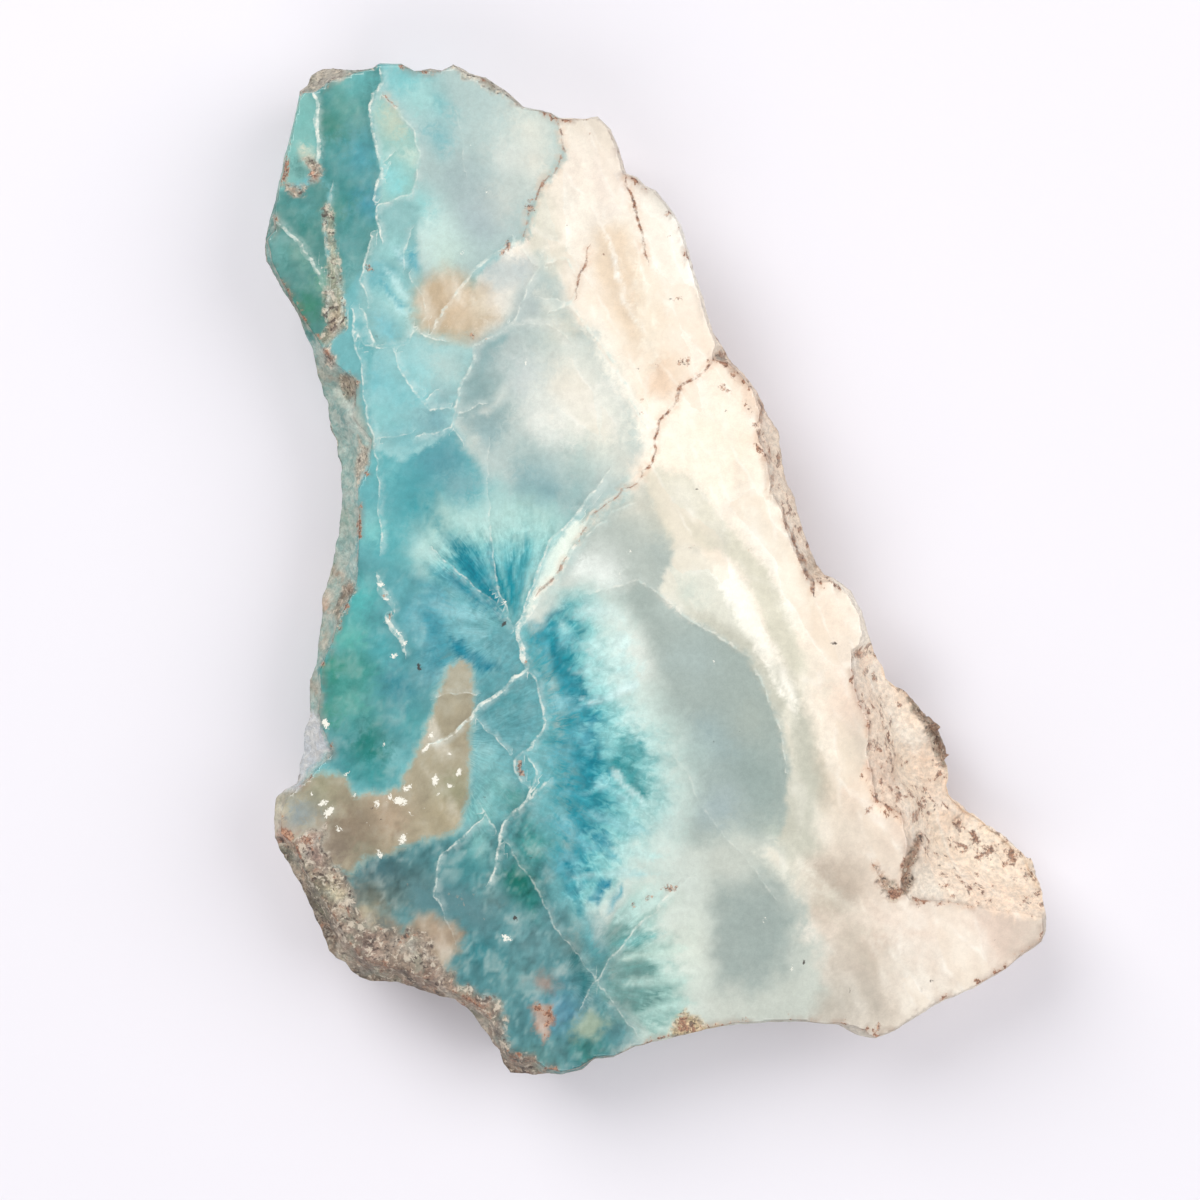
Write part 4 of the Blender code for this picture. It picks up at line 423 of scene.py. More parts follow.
# open cracks with brown fill
cracks = [
    (0.42, 1.0, [(6.3, 21.3), (4, 19.3), (2.7, 18.5), (2.1, 17.7), (2, 17), (1.5, 16), (0.3, 14.9), (-0.4, 10.7), (-1.1, 10.1), (-1.3, 9.3)]),
    (0.26, 0.8, [(-1.3, 9.3), (-2.2, 8.5), (-3.3, 8), (-6.1, 5.6), (-7, 4.6), (-7.9, 3)]),
    (0.5, 0.7, [(-9.2, 0.9), (-9.8, -0.2), (-11.6, -2.2)]),
    (0.34, 0.85, [(-10.2, 46), (-9.8, 45), (-9.1, 41.7), (-10.1, 39.9), (-11.5, 38.5), (-12.2, 36.5), (-12.8, 36.2), (-13.2, 33)]),
    (0.44, 1.0, [(-3, 39), (-2.1, 36.2), (-0.9, 31.2)]),
    (0.36, 0.9, [(-6.8, 32), (-7.6, 29.5), (-8, 27.5)]),
    (0.4, 0.9, [(21.9, -29.4), (22.4, -30.6), (23.2, -31.7), (24.4, -32.3), (25.8, -28), (27, -27.4)]),
    (0.3, 0.7, [(30, -26.3), (31, -25.2), (31.7, -24.5)]),
    (0.3, 0.8, [(-27, 47.2), (-26.4, 46.7)]),
    # broken line of dirt inside the right shoulder
    (0.6, 0.8, [(10.4, 17.4), (10.8, 16), (10.3, 13.8), (10.5, 12.2)]),
    (0.4, 0.8, [(11.3, 11.4), (11.6, 9.6), (11.5, 7.6)]),
    (0.5, 0.8, [(12.8, 6), (12.9, 4.6), (13.4, 4)]),
    (0.9, 0.9, [(13.5, 3.8), (15.8, -2)]),
]

# small grains in the face: x, y, radius
whiteFlecks = [
    (-27.5, -1.4, 0.35), (-27, -2.9, 0.3), (-26.8, -5, 0.38), (-25.9, -6.2, 0.34), (-25.2, -7.4, 0.3), (-26.2, -8.6, 0.36),
    (-33.3, -23.3, 0.45), (-32.7, -24.2, 0.55), (-27.9, -23.4, 0.4), (-25.6, -23.1, 0.6), (-25.3, -26.9, 0.48), (-23, -17.8, 0.4), (-22.5, -16.6, 0.34), (-22.1, -21, 0.5),
    (-21.8, -22.5, 0.24), (-20.6, -21.6, 0.36), (-19.7, -20.2, 0.4), (-27.6, -28.4, 0.4), (-23.4, -24, 0.24), (-15.1, -3.3, 0.32), (-12.2, -2.8, 0.28), (5.8, -9.3, 0.24), (-17, 38, 0.24), (-18.6, 42.4, 0.22),
    (-13, 20.8, 0.25), (10.8, -35, 0.24), (-15, -36.8, 0.48), (-30.9, -20.4, 0.28), (-33, -15.4, 0.48), (-3.2, 1.2, 0.24), (-2.6, 1.9, 0.24), (-3.6, -0.6, 0.25), (-19.4, 31.8, 0.25),
    (-24.9, -21.8, 0.42), (-30.2, -22.6, 0.24), (-20.6, -18.4, 0.25), (-24.6, -24.4, 0.25), (-28.8, -25.4, 0.25), (-31.7, -25.9, 0.36), (-26.7, -22.8, 0.36), (-34.4, -22.4, 0.25), (-27.2, -17.4, 0.22), 
    (-21, 24.4, 0.2), (13.6, -39.8, 0.2),
]
darkFlecks = [
    (-12.5, -28.8, 0.3), (-14.1, -34.8, 0.35), (-6.2, -22.1, 0.25), (1.1, -34.7, 0.2), (8.5, -16.3, 0.2), (10.9, -19.3, 0.2), (5.7, -17.2, 0.2), (14.8, -39.2, 0.3),
    (19.4, -42, 0.25), (20.3, -38.7, 0.25), (27.5, -41.1, 0.25), (26.5, -42, 0.25), (34, -36.9, 0.2), (17.8, -7.3, 0.35), (4, 8.1, 0.2), (7, 15.9, 0.2), (9.7, 15.7, 0.2), (-1.7, 20, 0.25),
    (2.7, 20.7, 0.3), (1.5, 27, 0.3), (-23.7, -9.7, 0.4), (-27.9, 23.3, 0.3), (-15.2, -5.4, 0.35), (1.4, -6.8, 0.2), (6.6, 21.3, 0.6), (-33.1, -36.7, 0.45), (-30.3, -36.8, 0.35), (-30.3, -40.8, 0.45), (-24.6, -41.1, 0.4), (-22, -42.4, 0.4), (-18.6, -44.5, 0.4), (-15.1, 48.1, 0.35), (-32.8, -11.6, 0.2),
    (-17.2, -22.8, 0.22), (-27.6, -25, 0.2), (-28.4, -23.8, 0.2), (-25.6, 46.6, 0.2), (-36.4, 31.4, 0.2), 
]
rustFlecks = [
    (20.4, -8.4, 0.7), (21.2, -10.2, 0.5), (21.2, -15.6, 0.4), (21.4, -17.6, 0.5), (22.6, -21.2, 0.45), (29.2, -19.8, 0.5), (26.2, -24.8, 0.6), (27.4, -23.4, 0.4), (8.9, -44.9, 0.35),
    (-28.7, 30.2, 0.45), (-6.9, 45.5, 0.5), (-26.6, -4.6, 0.4), (-27.2, -2.6, 0.3), (-13.4, -7.8, 0.22), (-13, -9.2, 0.25), (7.7, 19.4, 0.4), (8.2, 20, 0.3), (6.6, 18.2, 0.4), (7.2, 17.9, 0.35),
    (-13.6, -19.4, 0.45), (-13.5, -20.2, 0.5), (-11.6, -43.6, 0.35), (-10.9, -45.4, 0.45), (-10.8, -46.6, 0.3), (-2.3, -33.5, 0.35),
    (-0.9, -32.8, 0.35), (-0.3, -32.6, 0.25), (1.3, -31.8, 0.5), (2.0, -31.7, 0.35), (0.6, -31.9, 0.2), (22.2, -45.7, 0.45), (6.8, 18.4, 0.35), (3.2, 20.9, 0.4), (2.4, 20.8, 0.35), (-33.8, 40.3, 0.4),
    (-34.2, 39.6, 0.5), (-37, -26.4, 0.8), (-14.8, 32.4, 0.5), (-15.4, 31.8, 0.35), (-12.6, 36.2, 0.5), (-12.4, 37, 0.3), (2.2, 27.2, 0.35), (1.6, 26.6, 0.2), (-18.4, 23.4, 0.35),
    (-17, 23, 0.22), (9.4, 2, 0.25), (3.6, 2.4, 0.25), (-1.6, 15.6, 0.3), (-1.4, 17, 0.2), (0.2, 20.4, 0.2), (-2.4, 24, 0.2), (-5.2, 31.6, 0.2), (-8.8, 34.4, 0.2), (-6.6, 43.6, 0.2), (1.4, 33.4, 0.25), (1.2, 35.7, 0.42), (9.4, 16, 0.35), (9.9, 14.5, 0.42), (10.7, 12.9, 0.36), (11.4, 11.4, 0.42), (12.3, 8.4, 0.4), (12.7, 6.8, 0.36),
    (28.4, -33.4, 0.4), (26.2, -33.4, 0.35), (31.6, -31.8, 0.35), (36.4, -31.2, 0.4), (34.4, -30.4, 0.3), (37.6, -33, 0.35), (33.2, -33.2, 0.3), (21.2, -24, 0.4), (22.6, -22.2, 0.35),
]


def mixInto(colour, tint, amount):
    colour += (linear(tint) - colour) * amount[:, None]

def layArea(colour, rock, x, y, area, shift):
    pts = np.array(area["outline"], float)
    reach = area["soft"] * 3 + 3
    near = (x > pts[:, 0].min() - reach) & (x < pts[:, 0].max() + reach) & (y > pts[:, 1].min() - reach) & (y < pts[:, 1].max() + reach)
    px, py = x[near], y[near]
    w = area["wobble"]
    wx = px + w * clouds(px, py, 2.2, 5) + 0.35 * w * clouds(px, py, 0.7, 6)
    wy = py + w * clouds(px, py, 2.2, 8) + 0.35 * w * clouds(px, py, 0.7, 9)
    gap, _, _ = segmentGaps(wx, wy, area["outline"], closed=True)
    signed = np.where(inside(wx, wy, area["outline"]), gap, -gap) + 0.12 * shift
    amount = smoothStep(-area["soft"], area["soft"], signed)
    local = np.tile(linear(area["colour"]), (len(px), 1))
    tx = px + 0.7 * clouds(px, py, 3.0, 12) + 0.35 * shift
    ty = py + 0.7 * clouds(px, py, 3.0, 15) - 0.35 * shift
    for x0, y0, r, tint in area["tints"]:
        d = np.hypot(tx - x0, ty - y0) / (r * 1.25)
        mixInto(local, tint, 0.95 * np.exp(-d * d))
    if "mottle" in area:
        grain = clouds(wx, wy, 1.5, 31) + 0.8 * clouds(wx, wy, 0.6, 33)
        local *= (1.0 + area["mottle"] * np.minimum(grain, 0.0))[:, None]
        mixInto(local, (214, 222, 214), 0.9 * area["mottle"] * np.maximum(grain, 0.0))
    part = colour[near]
    if "edge" in area:
        mixInto(part, area["edge"], 0.45 * np.exp(-((signed + 0.15) / 0.25) ** 2))
    part += (local - part) * amount[:, None]
    colour[near] = part
    wanted = np.array([area.get("crumbs", 0.0), area.get("specks", 0.0)])
    rock[near] += (wanted - rock[near]) * amount[:, None]

def layFan(colour, x, y, fan, shift):
    # fibres run out from the centre; rows give colour and cover by reach, counted from the core line
    cx, cy = fan["centre"]
    rows = fan["rows"]
    far = max(row[1] for row in fan["core"]) + rows[-1][0] * 1.5 + 2.0
    near = (np.abs(x - cx) < far) & (np.abs(y - cy) < far)
    px, py = x[near], y[near]
    seed = fan["seed"]
    wx = px + fan["warp"] * (clouds(px, py, 3.2, 21 + seed) + 0.4 * clouds(px, py, 1.2, 22 + seed))
    wy = py + fan["warp"] * (clouds(px, py, 3.2, 24 + seed) + 0.4 * clouds(px, py, 1.2, 25 + seed))
    r = np.hypot(wx - cx, wy - cy)
    angle = np.degrees(np.arctan2(wy - cy, wx - cx))
    middle = 0.5 * (fan["from"] + fan["to"])
    turned = (angle - middle + 180.0) % 360.0 - 180.0
    half = 0.5 * (fan["to"] - fan["from"])
    core = np.interp(turned + middle, [row[0] for row in fan["core"]], [row[1] for row in fan["core"]])
    tips = np.interp(turned + middle, [row[0] for row in fan["core"]], [row[2] for row in fan["core"]])
    # fibres of one lobe spread apart past the core line
    lobe = (turned + 16.0) // 30.0 * 30.0 - 1.0
    turned = np.where(fan["bend"] > 0, lobe + (turned - lobe) / (1.0 + fan["bend"] * np.maximum(r - core, -4.0)), turned)
    k = fan["streaks"] / 57.3
    broad = noise(turned * k * 0.4, r * 0.10, seed)
    coarse = noise(turned * k, r * 0.22, seed + 1)
    fine = noise(turned * k * 2.3, r * 0.35, seed + 2)
    finest = noise(turned * k * 5.0, r * 0.5, seed + 3)
    curls = clouds(px, py, 1.3, seed + 60)
    past = r - core
    past = np.where(past > 0, past / tips, past)
    past += fan["spread"] * (0.7 * broad + 0.8 * coarse + 0.7 * fine + 0.4 * finest + 0.4 * curls)
    past += fan["weave"] * shift * (1.0 - 0.6 * smoothStep(2.0, 5.0, past))
    reaches = [row[0] for row in rows]
    table = np.array([linear(row[1]) for row in rows])
    local = np.column_stack([np.interp(past, reaches, table[:, i]) for i in range(3)])
    cover = np.interp(past, reaches, [row[2] for row in rows])
    edge = (half - np.abs((angle - middle + 180.0) % 360.0 - 180.0)) / 57.3 * np.maximum(r, 1.0) + 0.6 * fine + 0.6 * coarse
    cover = cover * smoothStep(-1.0, 1.6, edge)
    silk = np.clip(0.5 * coarse + 0.5 * fine + 0.3 * finest, 0.0, 1.0)
    mixInto(local, (214, 232, 230), fan["silk"] * silk)
    local *= (1.0 + 0.10 * fine + 0.06 * finest - 0.10 * np.clip(-coarse, 0.0, 1.0))[:, None]
    part = colour[near]
    part += (local - part) * cover[:, None]
    # single rays: angle, half width in degrees, reach from and to, colour, strength
    for lean, wide, start, end, tint, strength in fan.get("rays", ()):
        off = np.abs((angle - lean + 180.0) % 360.0 - 180.0) / wide + 0.15 * fine + 0.12 * shift
        tip = r + 0.8 * finest + 0.6 * fine + 0.4 * shift
        mixInto(part, tint, strength * smoothStep(1.5, 0.1, off) * smoothStep(start - 1.0, start + 1.5, r) * smoothStep(end + 0.8, end - 3.0, tip))
    colour[near] = part


def layStroke(colour, x, y, stroke, shift):
    width, soft, tint, opacity, course = stroke
    pts = np.array(course, float)
    reach = 0.5 * width + 2.0 * soft + 0.5
    low, high = pts.min(axis=0) - reach, pts.max(axis=0) + reach
    near = (x > low[0]) & (x < high[0]) & (y > low[1]) & (y < high[1])
    px, py = x[near], y[near]
    wx = px + 0.35 * clouds(px, py, 1.6, 71)
    wy = py + 0.35 * clouds(px, py, 1.6, 74)
    gap, side, along = segmentGaps(wx, wy, course)
    # bristles: fine fibres along the stroke
    length = np.hypot(*np.diff(pts, axis=0).T).sum()
    bristles = noise(side * gap * 2.6 + pts[0, 0], along * length * 0.5, 79)
    along = along + 0.10 * bristles
    fade = smoothStep(0.0, 0.22, along) * smoothStep(0.0, 0.22, 1.0 - along)
    gap = gap + (1.0 - fade) * 0.6 * width + shift * (0.04 + 0.22 * soft)
    patchy = 0.8 + 0.3 * clouds(px, py, 1.5, 77) + 0.45 * bristles
    part = colour[near]
    mixInto(part, tint, np.clip(opacity * patchy * (1.0 - smoothStep(0.5 * width - soft, 0.5 * width + soft, gap)), 0.0, 1.0))
    colour[near] = part


def stoneColour(x, y, shift):
    # colour of the stone, and how crumbly and speckled it is, at these places; shift moves every border a little
    colour = np.zeros((len(x), 3))
    rock = np.zeros((len(x), 2))
    for area in areas:
        layArea(colour, rock, x, y, area, shift)
    for fan in fans:
        layFan(colour, x, y, fan, shift)
    for stroke in strokes:
        layStroke(colour, x, y, stroke, shift)
    for area in inclusions:
        layArea(colour, rock, x, y, area, shift)
    clean = 1.0 - rock[:, 0]
    # milky and clear patches, strongest in the blue
    blueness = np.clip((colour[:, 2] - colour[:, 0]) * 2.2, 0.0, 1.0)
    warpX, warpY = x + 0.8 * clouds(x, y, 2.0, 81), y + 0.8 * clouds(x, y, 2.0, 84)
    milk = clouds(warpX, warpY, 1.7, 87) + 0.5 * clouds(warpX, warpY, 0.6, 89)
    mixInto(colour, (206, 226, 224), np.clip(0.14 * milk * blueness, 0.0, 1.0) * clean)
    colour *= (1.0 - 0.12 * blueness * np.clip(-milk, 0.0, 1.0) * clean)[:, None]
    # in the cream: sheets drawn out along the broken edge
    lean = math.radians(slab["grainLean"])
    along = x * math.cos(lean) + y * math.sin(lean)
    across = y * math.cos(lean) - x * math.sin(lean) + 0.9 * clouds(x, y, 6.0, 91)
    sheets = clouds(along * 0.22, across, 2.6, 93) + 0.4 * clouds(along * 0.5, across, 0.9, 97)
    warmth = np.clip((colour[:, 0] - colour[:, 2]) * 7.0, 0.12, 1.0)
    cream = (1.0 - blueness) * clean * warmth
    mixInto(colour, (255, 253, 243), np.clip(0.4 * sheets, 0.0, 0.5) * cream)
    colour *= (1.0 - 0.12 * np.clip(-sheets, 0.0, 1.0) * cream)[:, None]
    # the gloss adds a little white, which is left out here
    return np.clip((colour - slab["sheen"]) / (1.0 - slab["sheen"]), 0.0, 1.0) ** slab["contrast"], rock

def nearestLine(x, y, lines, reach=1.4):
    # for the nearest line: signed gap, gap, half width, strength
    signed = np.full(x.shape, reach)
    gap = np.full(x.shape, reach)
    half = np.zeros(x.shape)
    strength = np.zeros(x.shape)
    for width, force, course in lines:
        pts = np.array(course, float)
        low, high = pts.min(axis=0) - reach, pts.max(axis=0) + reach
        near = np.flatnonzero((x > low[0]) & (x < high[0]) & (y > low[1]) & (y < high[1]))
        if not len(near):
            continue
        px, py = x[near], y[near]
        wx = px + 0.22 * clouds(px, py, 1.1, 41)
        wy = py + 0.22 * clouds(px, py, 1.1, 44)
        d, side, along = segmentGaps(wx, wy, course)
        taper = 0.55 + 0.45 * np.sin(np.pi * np.clip(along, 0.02, 0.98)) ** 0.5
        better = d - 0.5 * width * taper < gap[near] - half[near]
        chosen = near[better]
        signed[chosen] = (d * side)[better]
        gap[chosen] = d[better]
        half[chosen] = (0.5 * width * taper)[better]
        strength[chosen] = force
    return np.clip(signed, -reach, reach), np.minimum(gap, reach), half, strength


def fleckField(x, y, flecks):
    # how far inside the nearest grain each point is, in mm
    field = np.full(x.shape, -1.0)
    for cx, cy, radius in flecks:
        near = np.flatnonzero((np.abs(x - cx) < radius + 1.0) & (np.abs(y - cy) < radius + 1.0))
        px, py = x[near] - cx, y[near] - cy
        lean = noise(np.array([cx]), np.array([cy]), 3)[0] * 3.0
        along = px * math.cos(lean) + py * math.sin(lean)
        across = py * math.cos(lean) - px * math.sin(lean)
        field[near] = np.maximum(field[near], radius - np.hypot(along * 0.75, across * 1.35))
    return field


def streakField(x, y):
    # the run of the fibres: angle and reach about the nearest fan's centre, and how strong they show
    angle, reach, show = np.zeros(x.shape), np.zeros(x.shape), np.zeros(x.shape)
    nearest = np.full(x.shape, 1e9)
    for fan in fans:
        cx, cy = fan["centre"]
        turned = np.arctan2(y - cy, x - cx)
        r = np.hypot(x - cx, y - cy)
        middle = math.radians(0.5 * (fan["from"] + fan["to"]))
        half = math.radians(0.5 * (fan["to"] - fan["from"]))
        off = np.abs((turned - middle + np.pi) % (2 * np.pi) - np.pi)
        far = r / (fan["core"][0][1] + fan["rows"][-2][0]) + np.clip(off - half, 0.0, None) * 2.0
        better = far < nearest
        angle = np.where(better, ((turned - middle + np.pi) % (2 * np.pi) - np.pi), angle)
        reach = np.where(better, r, reach)
        nearest = np.where(better, far, nearest)
    show = 1.0 - smoothStep(0.75, 1.25, nearest)
    return angle, reach, show


# shaping

def selectOnly(*pieces):
    if bpy.context.mode != "OBJECT":
        bpy.ops.object.mode_set(mode="OBJECT")
    bpy.ops.object.select_all(action="DESELECT")
    for piece in pieces:
        piece.select_set(True)
    bpy.context.view_layer.objects.active = pieces[-1]


def chooseFaces(piece, wanted):
    # in edit mode: selects the faces whose centre and normal pass the test
    bpy.ops.mesh.select_all(action="DESELECT")
    bpy.ops.object.mode_set(mode="OBJECT")
    for face in piece.data.polygons:
        face.select = wanted(face.center / mm, face.normal)
    bpy.ops.object.mode_set(mode="EDIT")


def chooseRim(piece, height):
    # in edit mode: selects the open edges that lie at this height
    bpy.ops.mesh.select_all(action="DESELECT")
    bpy.ops.mesh.select_mode(type="EDGE")
    bpy.ops.mesh.select_non_manifold(extend=False, use_wire=False, use_multi_face=False, use_non_contiguous=False, use_verts=False)
    bpy.ops.object.mode_set(mode="OBJECT")
    points = piece.data.vertices
    for edge in piece.data.edges:
        middle = 0.5 * (points[edge.vertices[0]].co.z + points[edge.vertices[1]].co.z) / mm
        if abs(middle - height) > 0.05:
            edge.select = False
    for point in points:
        if abs(point.co.z / mm - height) > 0.05:
            point.select = False
    bpy.ops.object.mode_set(mode="EDIT")


def roughBody(cadPiece):
    # the broken sides on their own, running past both saw cuts
    bpy.ops.object.select_all(action="DESELECT")
    rough = bpy.data.objects.new("roughBody", cadPiece.data.copy())
    bpy.context.scene.collection.objects.link(rough)
    rough.data.materials.clear()
    selectOnly(rough)
    bpy.ops.object.mode_set(mode="EDIT")
    bpy.ops.mesh.select_mode(type="FACE")
    bpy.ops.mesh.select_all(action="SELECT")
    bpy.ops.mesh.remove_doubles(threshold=0.001 * mm)
    top = slab["thickness"]
    chooseFaces(rough, lambda centre, normal: normal.z > 0.9999 and centre.z > top - 0.01)
    bpy.ops.mesh.delete(type="FACE")
    chooseFaces(rough, lambda centre, normal: normal.z < -0.9999 and centre.z < 0.01)
    bpy.ops.mesh.delete(type="FACE")
    for height, way in ((top, 1.0), (0.0, -1.0)):
        chooseRim(rough, height)
        bpy.ops.mesh.extrude_region_move(TRANSFORM_OT_translate={"value": (0.0, 0.0, way * slab["overrun"] * mm)})
        bpy.ops.mesh.select_mode(type="FACE")
    bpy.ops.mesh.select_all(action="SELECT")
    bpy.ops.mesh.subdivide(number_cuts=slab["sideCuts"])
    for height in (top + slab["overrun"], -slab["overrun"]):
        chooseRim(rough, height)
        bpy.ops.mesh.fill(use_beauty=False)
        bpy.ops.mesh.select_mode(type="FACE")
    bpy.ops.mesh.select_all(action="SELECT")
    bpy.ops.mesh.normals_make_consistent(inside=False)
    bpy.ops.object.mode_set(mode="OBJECT")
    return rough


def roughen(piece, name, kind, size, depth, group, middle=0.5):
    texture = bpy.data.textures.new(name, kind)
    texture.noise_scale = size * mm
    if kind == "VORONOI":
        texture.weight_1, texture.weight_2 = -1.0, 1.0
    bpy.ops.object.modifier_add(type="DISPLACE")
    push = piece.modifiers[-1]
    push.texture = texture
    push.strength = depth * mm
    push.mid_level = middle
    push.vertex_group = group
    bpy.ops.object.modifier_apply(modifier=push.name)


def sawnBlock():
    # what lies between the two saw cuts: finely divided on the polished side
    low, high = cadBox
    middle, reach = (low + high) / 2, high - low
    bpy.ops.mesh.primitive_cube_add(size=1.0, location=(middle.x, middle.y, 0.5 * slab["thickness"] * mm))
    block = bpy.context.active_object
    block.name = "sawnBlock"
    block.scale = (reach.x + 8 * mm, reach.y + 8 * mm, slab["thickness"] * mm)
    bpy.ops.object.transform_apply(location=True, rotation=True, scale=True)
    bpy.ops.object.mode_set(mode="EDIT")
    bpy.ops.mesh.select_mode(type="FACE")
    for facing, cells in ((1.0, slab["faceCells"]), (-1.0, slab["backCells"])):
        chooseFaces(block, lambda centre, normal: normal.z * facing > 0.5)
        while cells > 100:
            bpy.ops.mesh.subdivide(number_cuts=2)
            cells //= 3
        bpy.ops.mesh.subdivide(number_cuts=cells - 1)
    bpy.ops.object.mode_set(mode="OBJECT")
    return block


print("shaping the rough sides")
larimar = roughBody(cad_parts["larimar_slab"])
points = np.empty(len(larimar.data.vertices) * 3)
larimar.data.vertices.foreach_get("co", points)
points = points.reshape(-1, 3) / mm
sides = larimar.vertex_groups.new(name="sides")
loose = np.clip(0.45 + 0.55 * (slab["thickness"] - 1.5 - points[:, 2]) / 2.5, 0.45, 1.0)
for step in np.unique(np.round(loose, 1)):
    sides.add([int(i) for i in np.flatnonzero(np.round(loose, 1) == step)], float(step), "REPLACE")
selectOnly(larimar)
roughen(larimar, "lumps", "CLOUDS", slab["lumps"]["size"], slab["lumps"]["depth"], "sides", middle=0.62)
roughen(larimar, "chips", "VORONOI", slab["chips"]["size"], slab["chips"]["depth"], "sides", middle=0.55)
roughen(larimar, "grit", "CLOUDS", slab["grit"]["size"], slab["grit"]["depth"], "sides")

print("sawing and polishing")
block = sawnBlock()
selectOnly(larimar)
bpy.ops.object.modifier_add(type="BOOLEAN")
cut = larimar.modifiers[-1]
cut.operation = "INTERSECT"
cut.solver = "MANIFOLD"
cut.object = block
bpy.ops.object.modifier_apply(modifier=cut.name)
bpy.data.objects.remove(block)
larimar.vertex_groups.clear()
larimar.name = "larimarSlab"
print("slab faces", len(larimar.data.polygons), "triangles", sum(len(face.vertices) - 2 for face in larimar.data.polygons))

def keepOnPoints(piece, name, kind, values):
    layer = piece.data.attributes.new(name, kind, "POINT")
    key = "color" if kind == "FLOAT_COLOR" else "vector"
    layer.data.foreach_set(key, np.ascontiguousarray(values, np.float32).ravel())


def rimGaps(piece, points):
    # how far each point lies from the polished face's outline, in mm
    top = slab["thickness"] - 0.02
    level = points[:, 2] > top
    loops = np.zeros(len(piece.data.loops), int)
    piece.data.loops.foreach_get("vertex_index", loops)
    sizes = np.zeros(len(piece.data.polygons), int)
    piece.data.polygons.foreach_get("loop_total", sizes)
    starts = np.cumsum(sizes) - sizes
    flat = np.minimum.reduceat(level[loops].astype(int), starts)
    onWall = np.zeros(len(points), bool)
    onWall[loops[np.repeat(flat, sizes) == 0]] = True
    rim = np.flatnonzero(level & onWall)
    tree = kdtree.KDTree(len(rim))
    for i in rim:
        tree.insert(points[i], int(i))
    tree.balance()
    return np.array([tree.find(point)[2] for point in points])


def colourStone(piece):
    points = np.empty(len(piece.data.vertices) * 3)
    normals = np.empty(len(piece.data.vertices) * 3)
    piece.data.vertices.foreach_get("co", points)
    piece.data.vertices.foreach_get("normal", normals)
    points = points.reshape(-1, 3) / mm
    x, y, z = points.T
    deep = np.clip(slab["thickness"] - z, 0.0, None)
    # on steep sides the colours wander with the depth
    steep = 1.0 - smoothStep(0.15, 0.45, np.abs(normals.reshape(-1, 3)[:, 2]))
    drift = (0.10 + 0.30 * steep) * deep
    mapX = x + drift * clouds(x * 0.4, y * 0.4 + z * 0.5, 3.0, 51)
    mapY = y + drift * clouds(x * 0.4, y * 0.4 + z * 0.5, 3.0, 54)
    crust = smoothStep(-0.2, 0.5, clouds(x + 0.8 * z, y - 0.8 * z, 4.0, 61))
    sides = steep * crust * smoothStep(0.02, 0.3, z)
    dirt = (1.0 - smoothStep(0.05, 0.9, rimGaps(piece, points))) * smoothStep(-0.1, 0.25, clouds(x, y, 1.6, 65)) * smoothStep(0.02, 0.3, z)
    # two tints that differ only close to the borders: the material weaves them into each other
    for name, shift in (("tint", -1.0), ("tintBeyond", 1.0)):
        colour, rock = stoneColour(mapX, mapY, shift)
        warm = smoothStep(-0.1, 0.1, colour[:, 0] - colour[:, 2])
        mixInto(colour, slab["crustColour"], (0.55 - 0.35 * warm) * sides)
        mixInto(colour, slab["dirtColour"], 0.35 * dirt)
        keepOnPoints(piece, name, "FLOAT_COLOR", np.column_stack([np.clip(colour, 0.0, 1.0), np.ones(len(x))]))
    rock[:, 0] = np.maximum(rock[:, 0], (0.9 - 0.55 * warm) * sides)
    rock[:, 1] = np.maximum(rock[:, 1], np.maximum((0.4 + 0.3 * warm) * steep, 1.1 * dirt))
    keepOnPoints(piece, "rock", "FLOAT_VECTOR", np.column_stack([rock, steep]))
    fading = 1.0 - 0.85 * smoothStep(1.0, 4.0, deep) * steep
    for name, lines in (("veinLine", veins), ("crackLine", cracks)):
        signed, gap, half, force = nearestLine(x, y, lines)
        keepOnPoints(piece, name, "FLOAT_COLOR", np.column_stack([signed, gap, half, force * fading]))
    grains = [fleckField(x, y, flecks) - steep for flecks in (whiteFlecks, darkFlecks, rustFlecks)]
    keepOnPoints(piece, "flecks", "FLOAT_VECTOR", np.column_stack(grains))
    angle, reach, show = streakField(x, y)
    show *= np.clip((colour[:, 2] - colour[:, 0]) * 5.0, 0.0, 1.0) * (1.0 - rock[:, 0])
    cream = smoothStep(0.02, 0.10, colour[:, 0] - colour[:, 2]) * smoothStep(0.55, 0.75, colour[:, 1]) * (1.0 - rock[:, 0])
    keepOnPoints(piece, "fibres", "FLOAT_COLOR", np.column_stack([angle, reach, show, cream]))


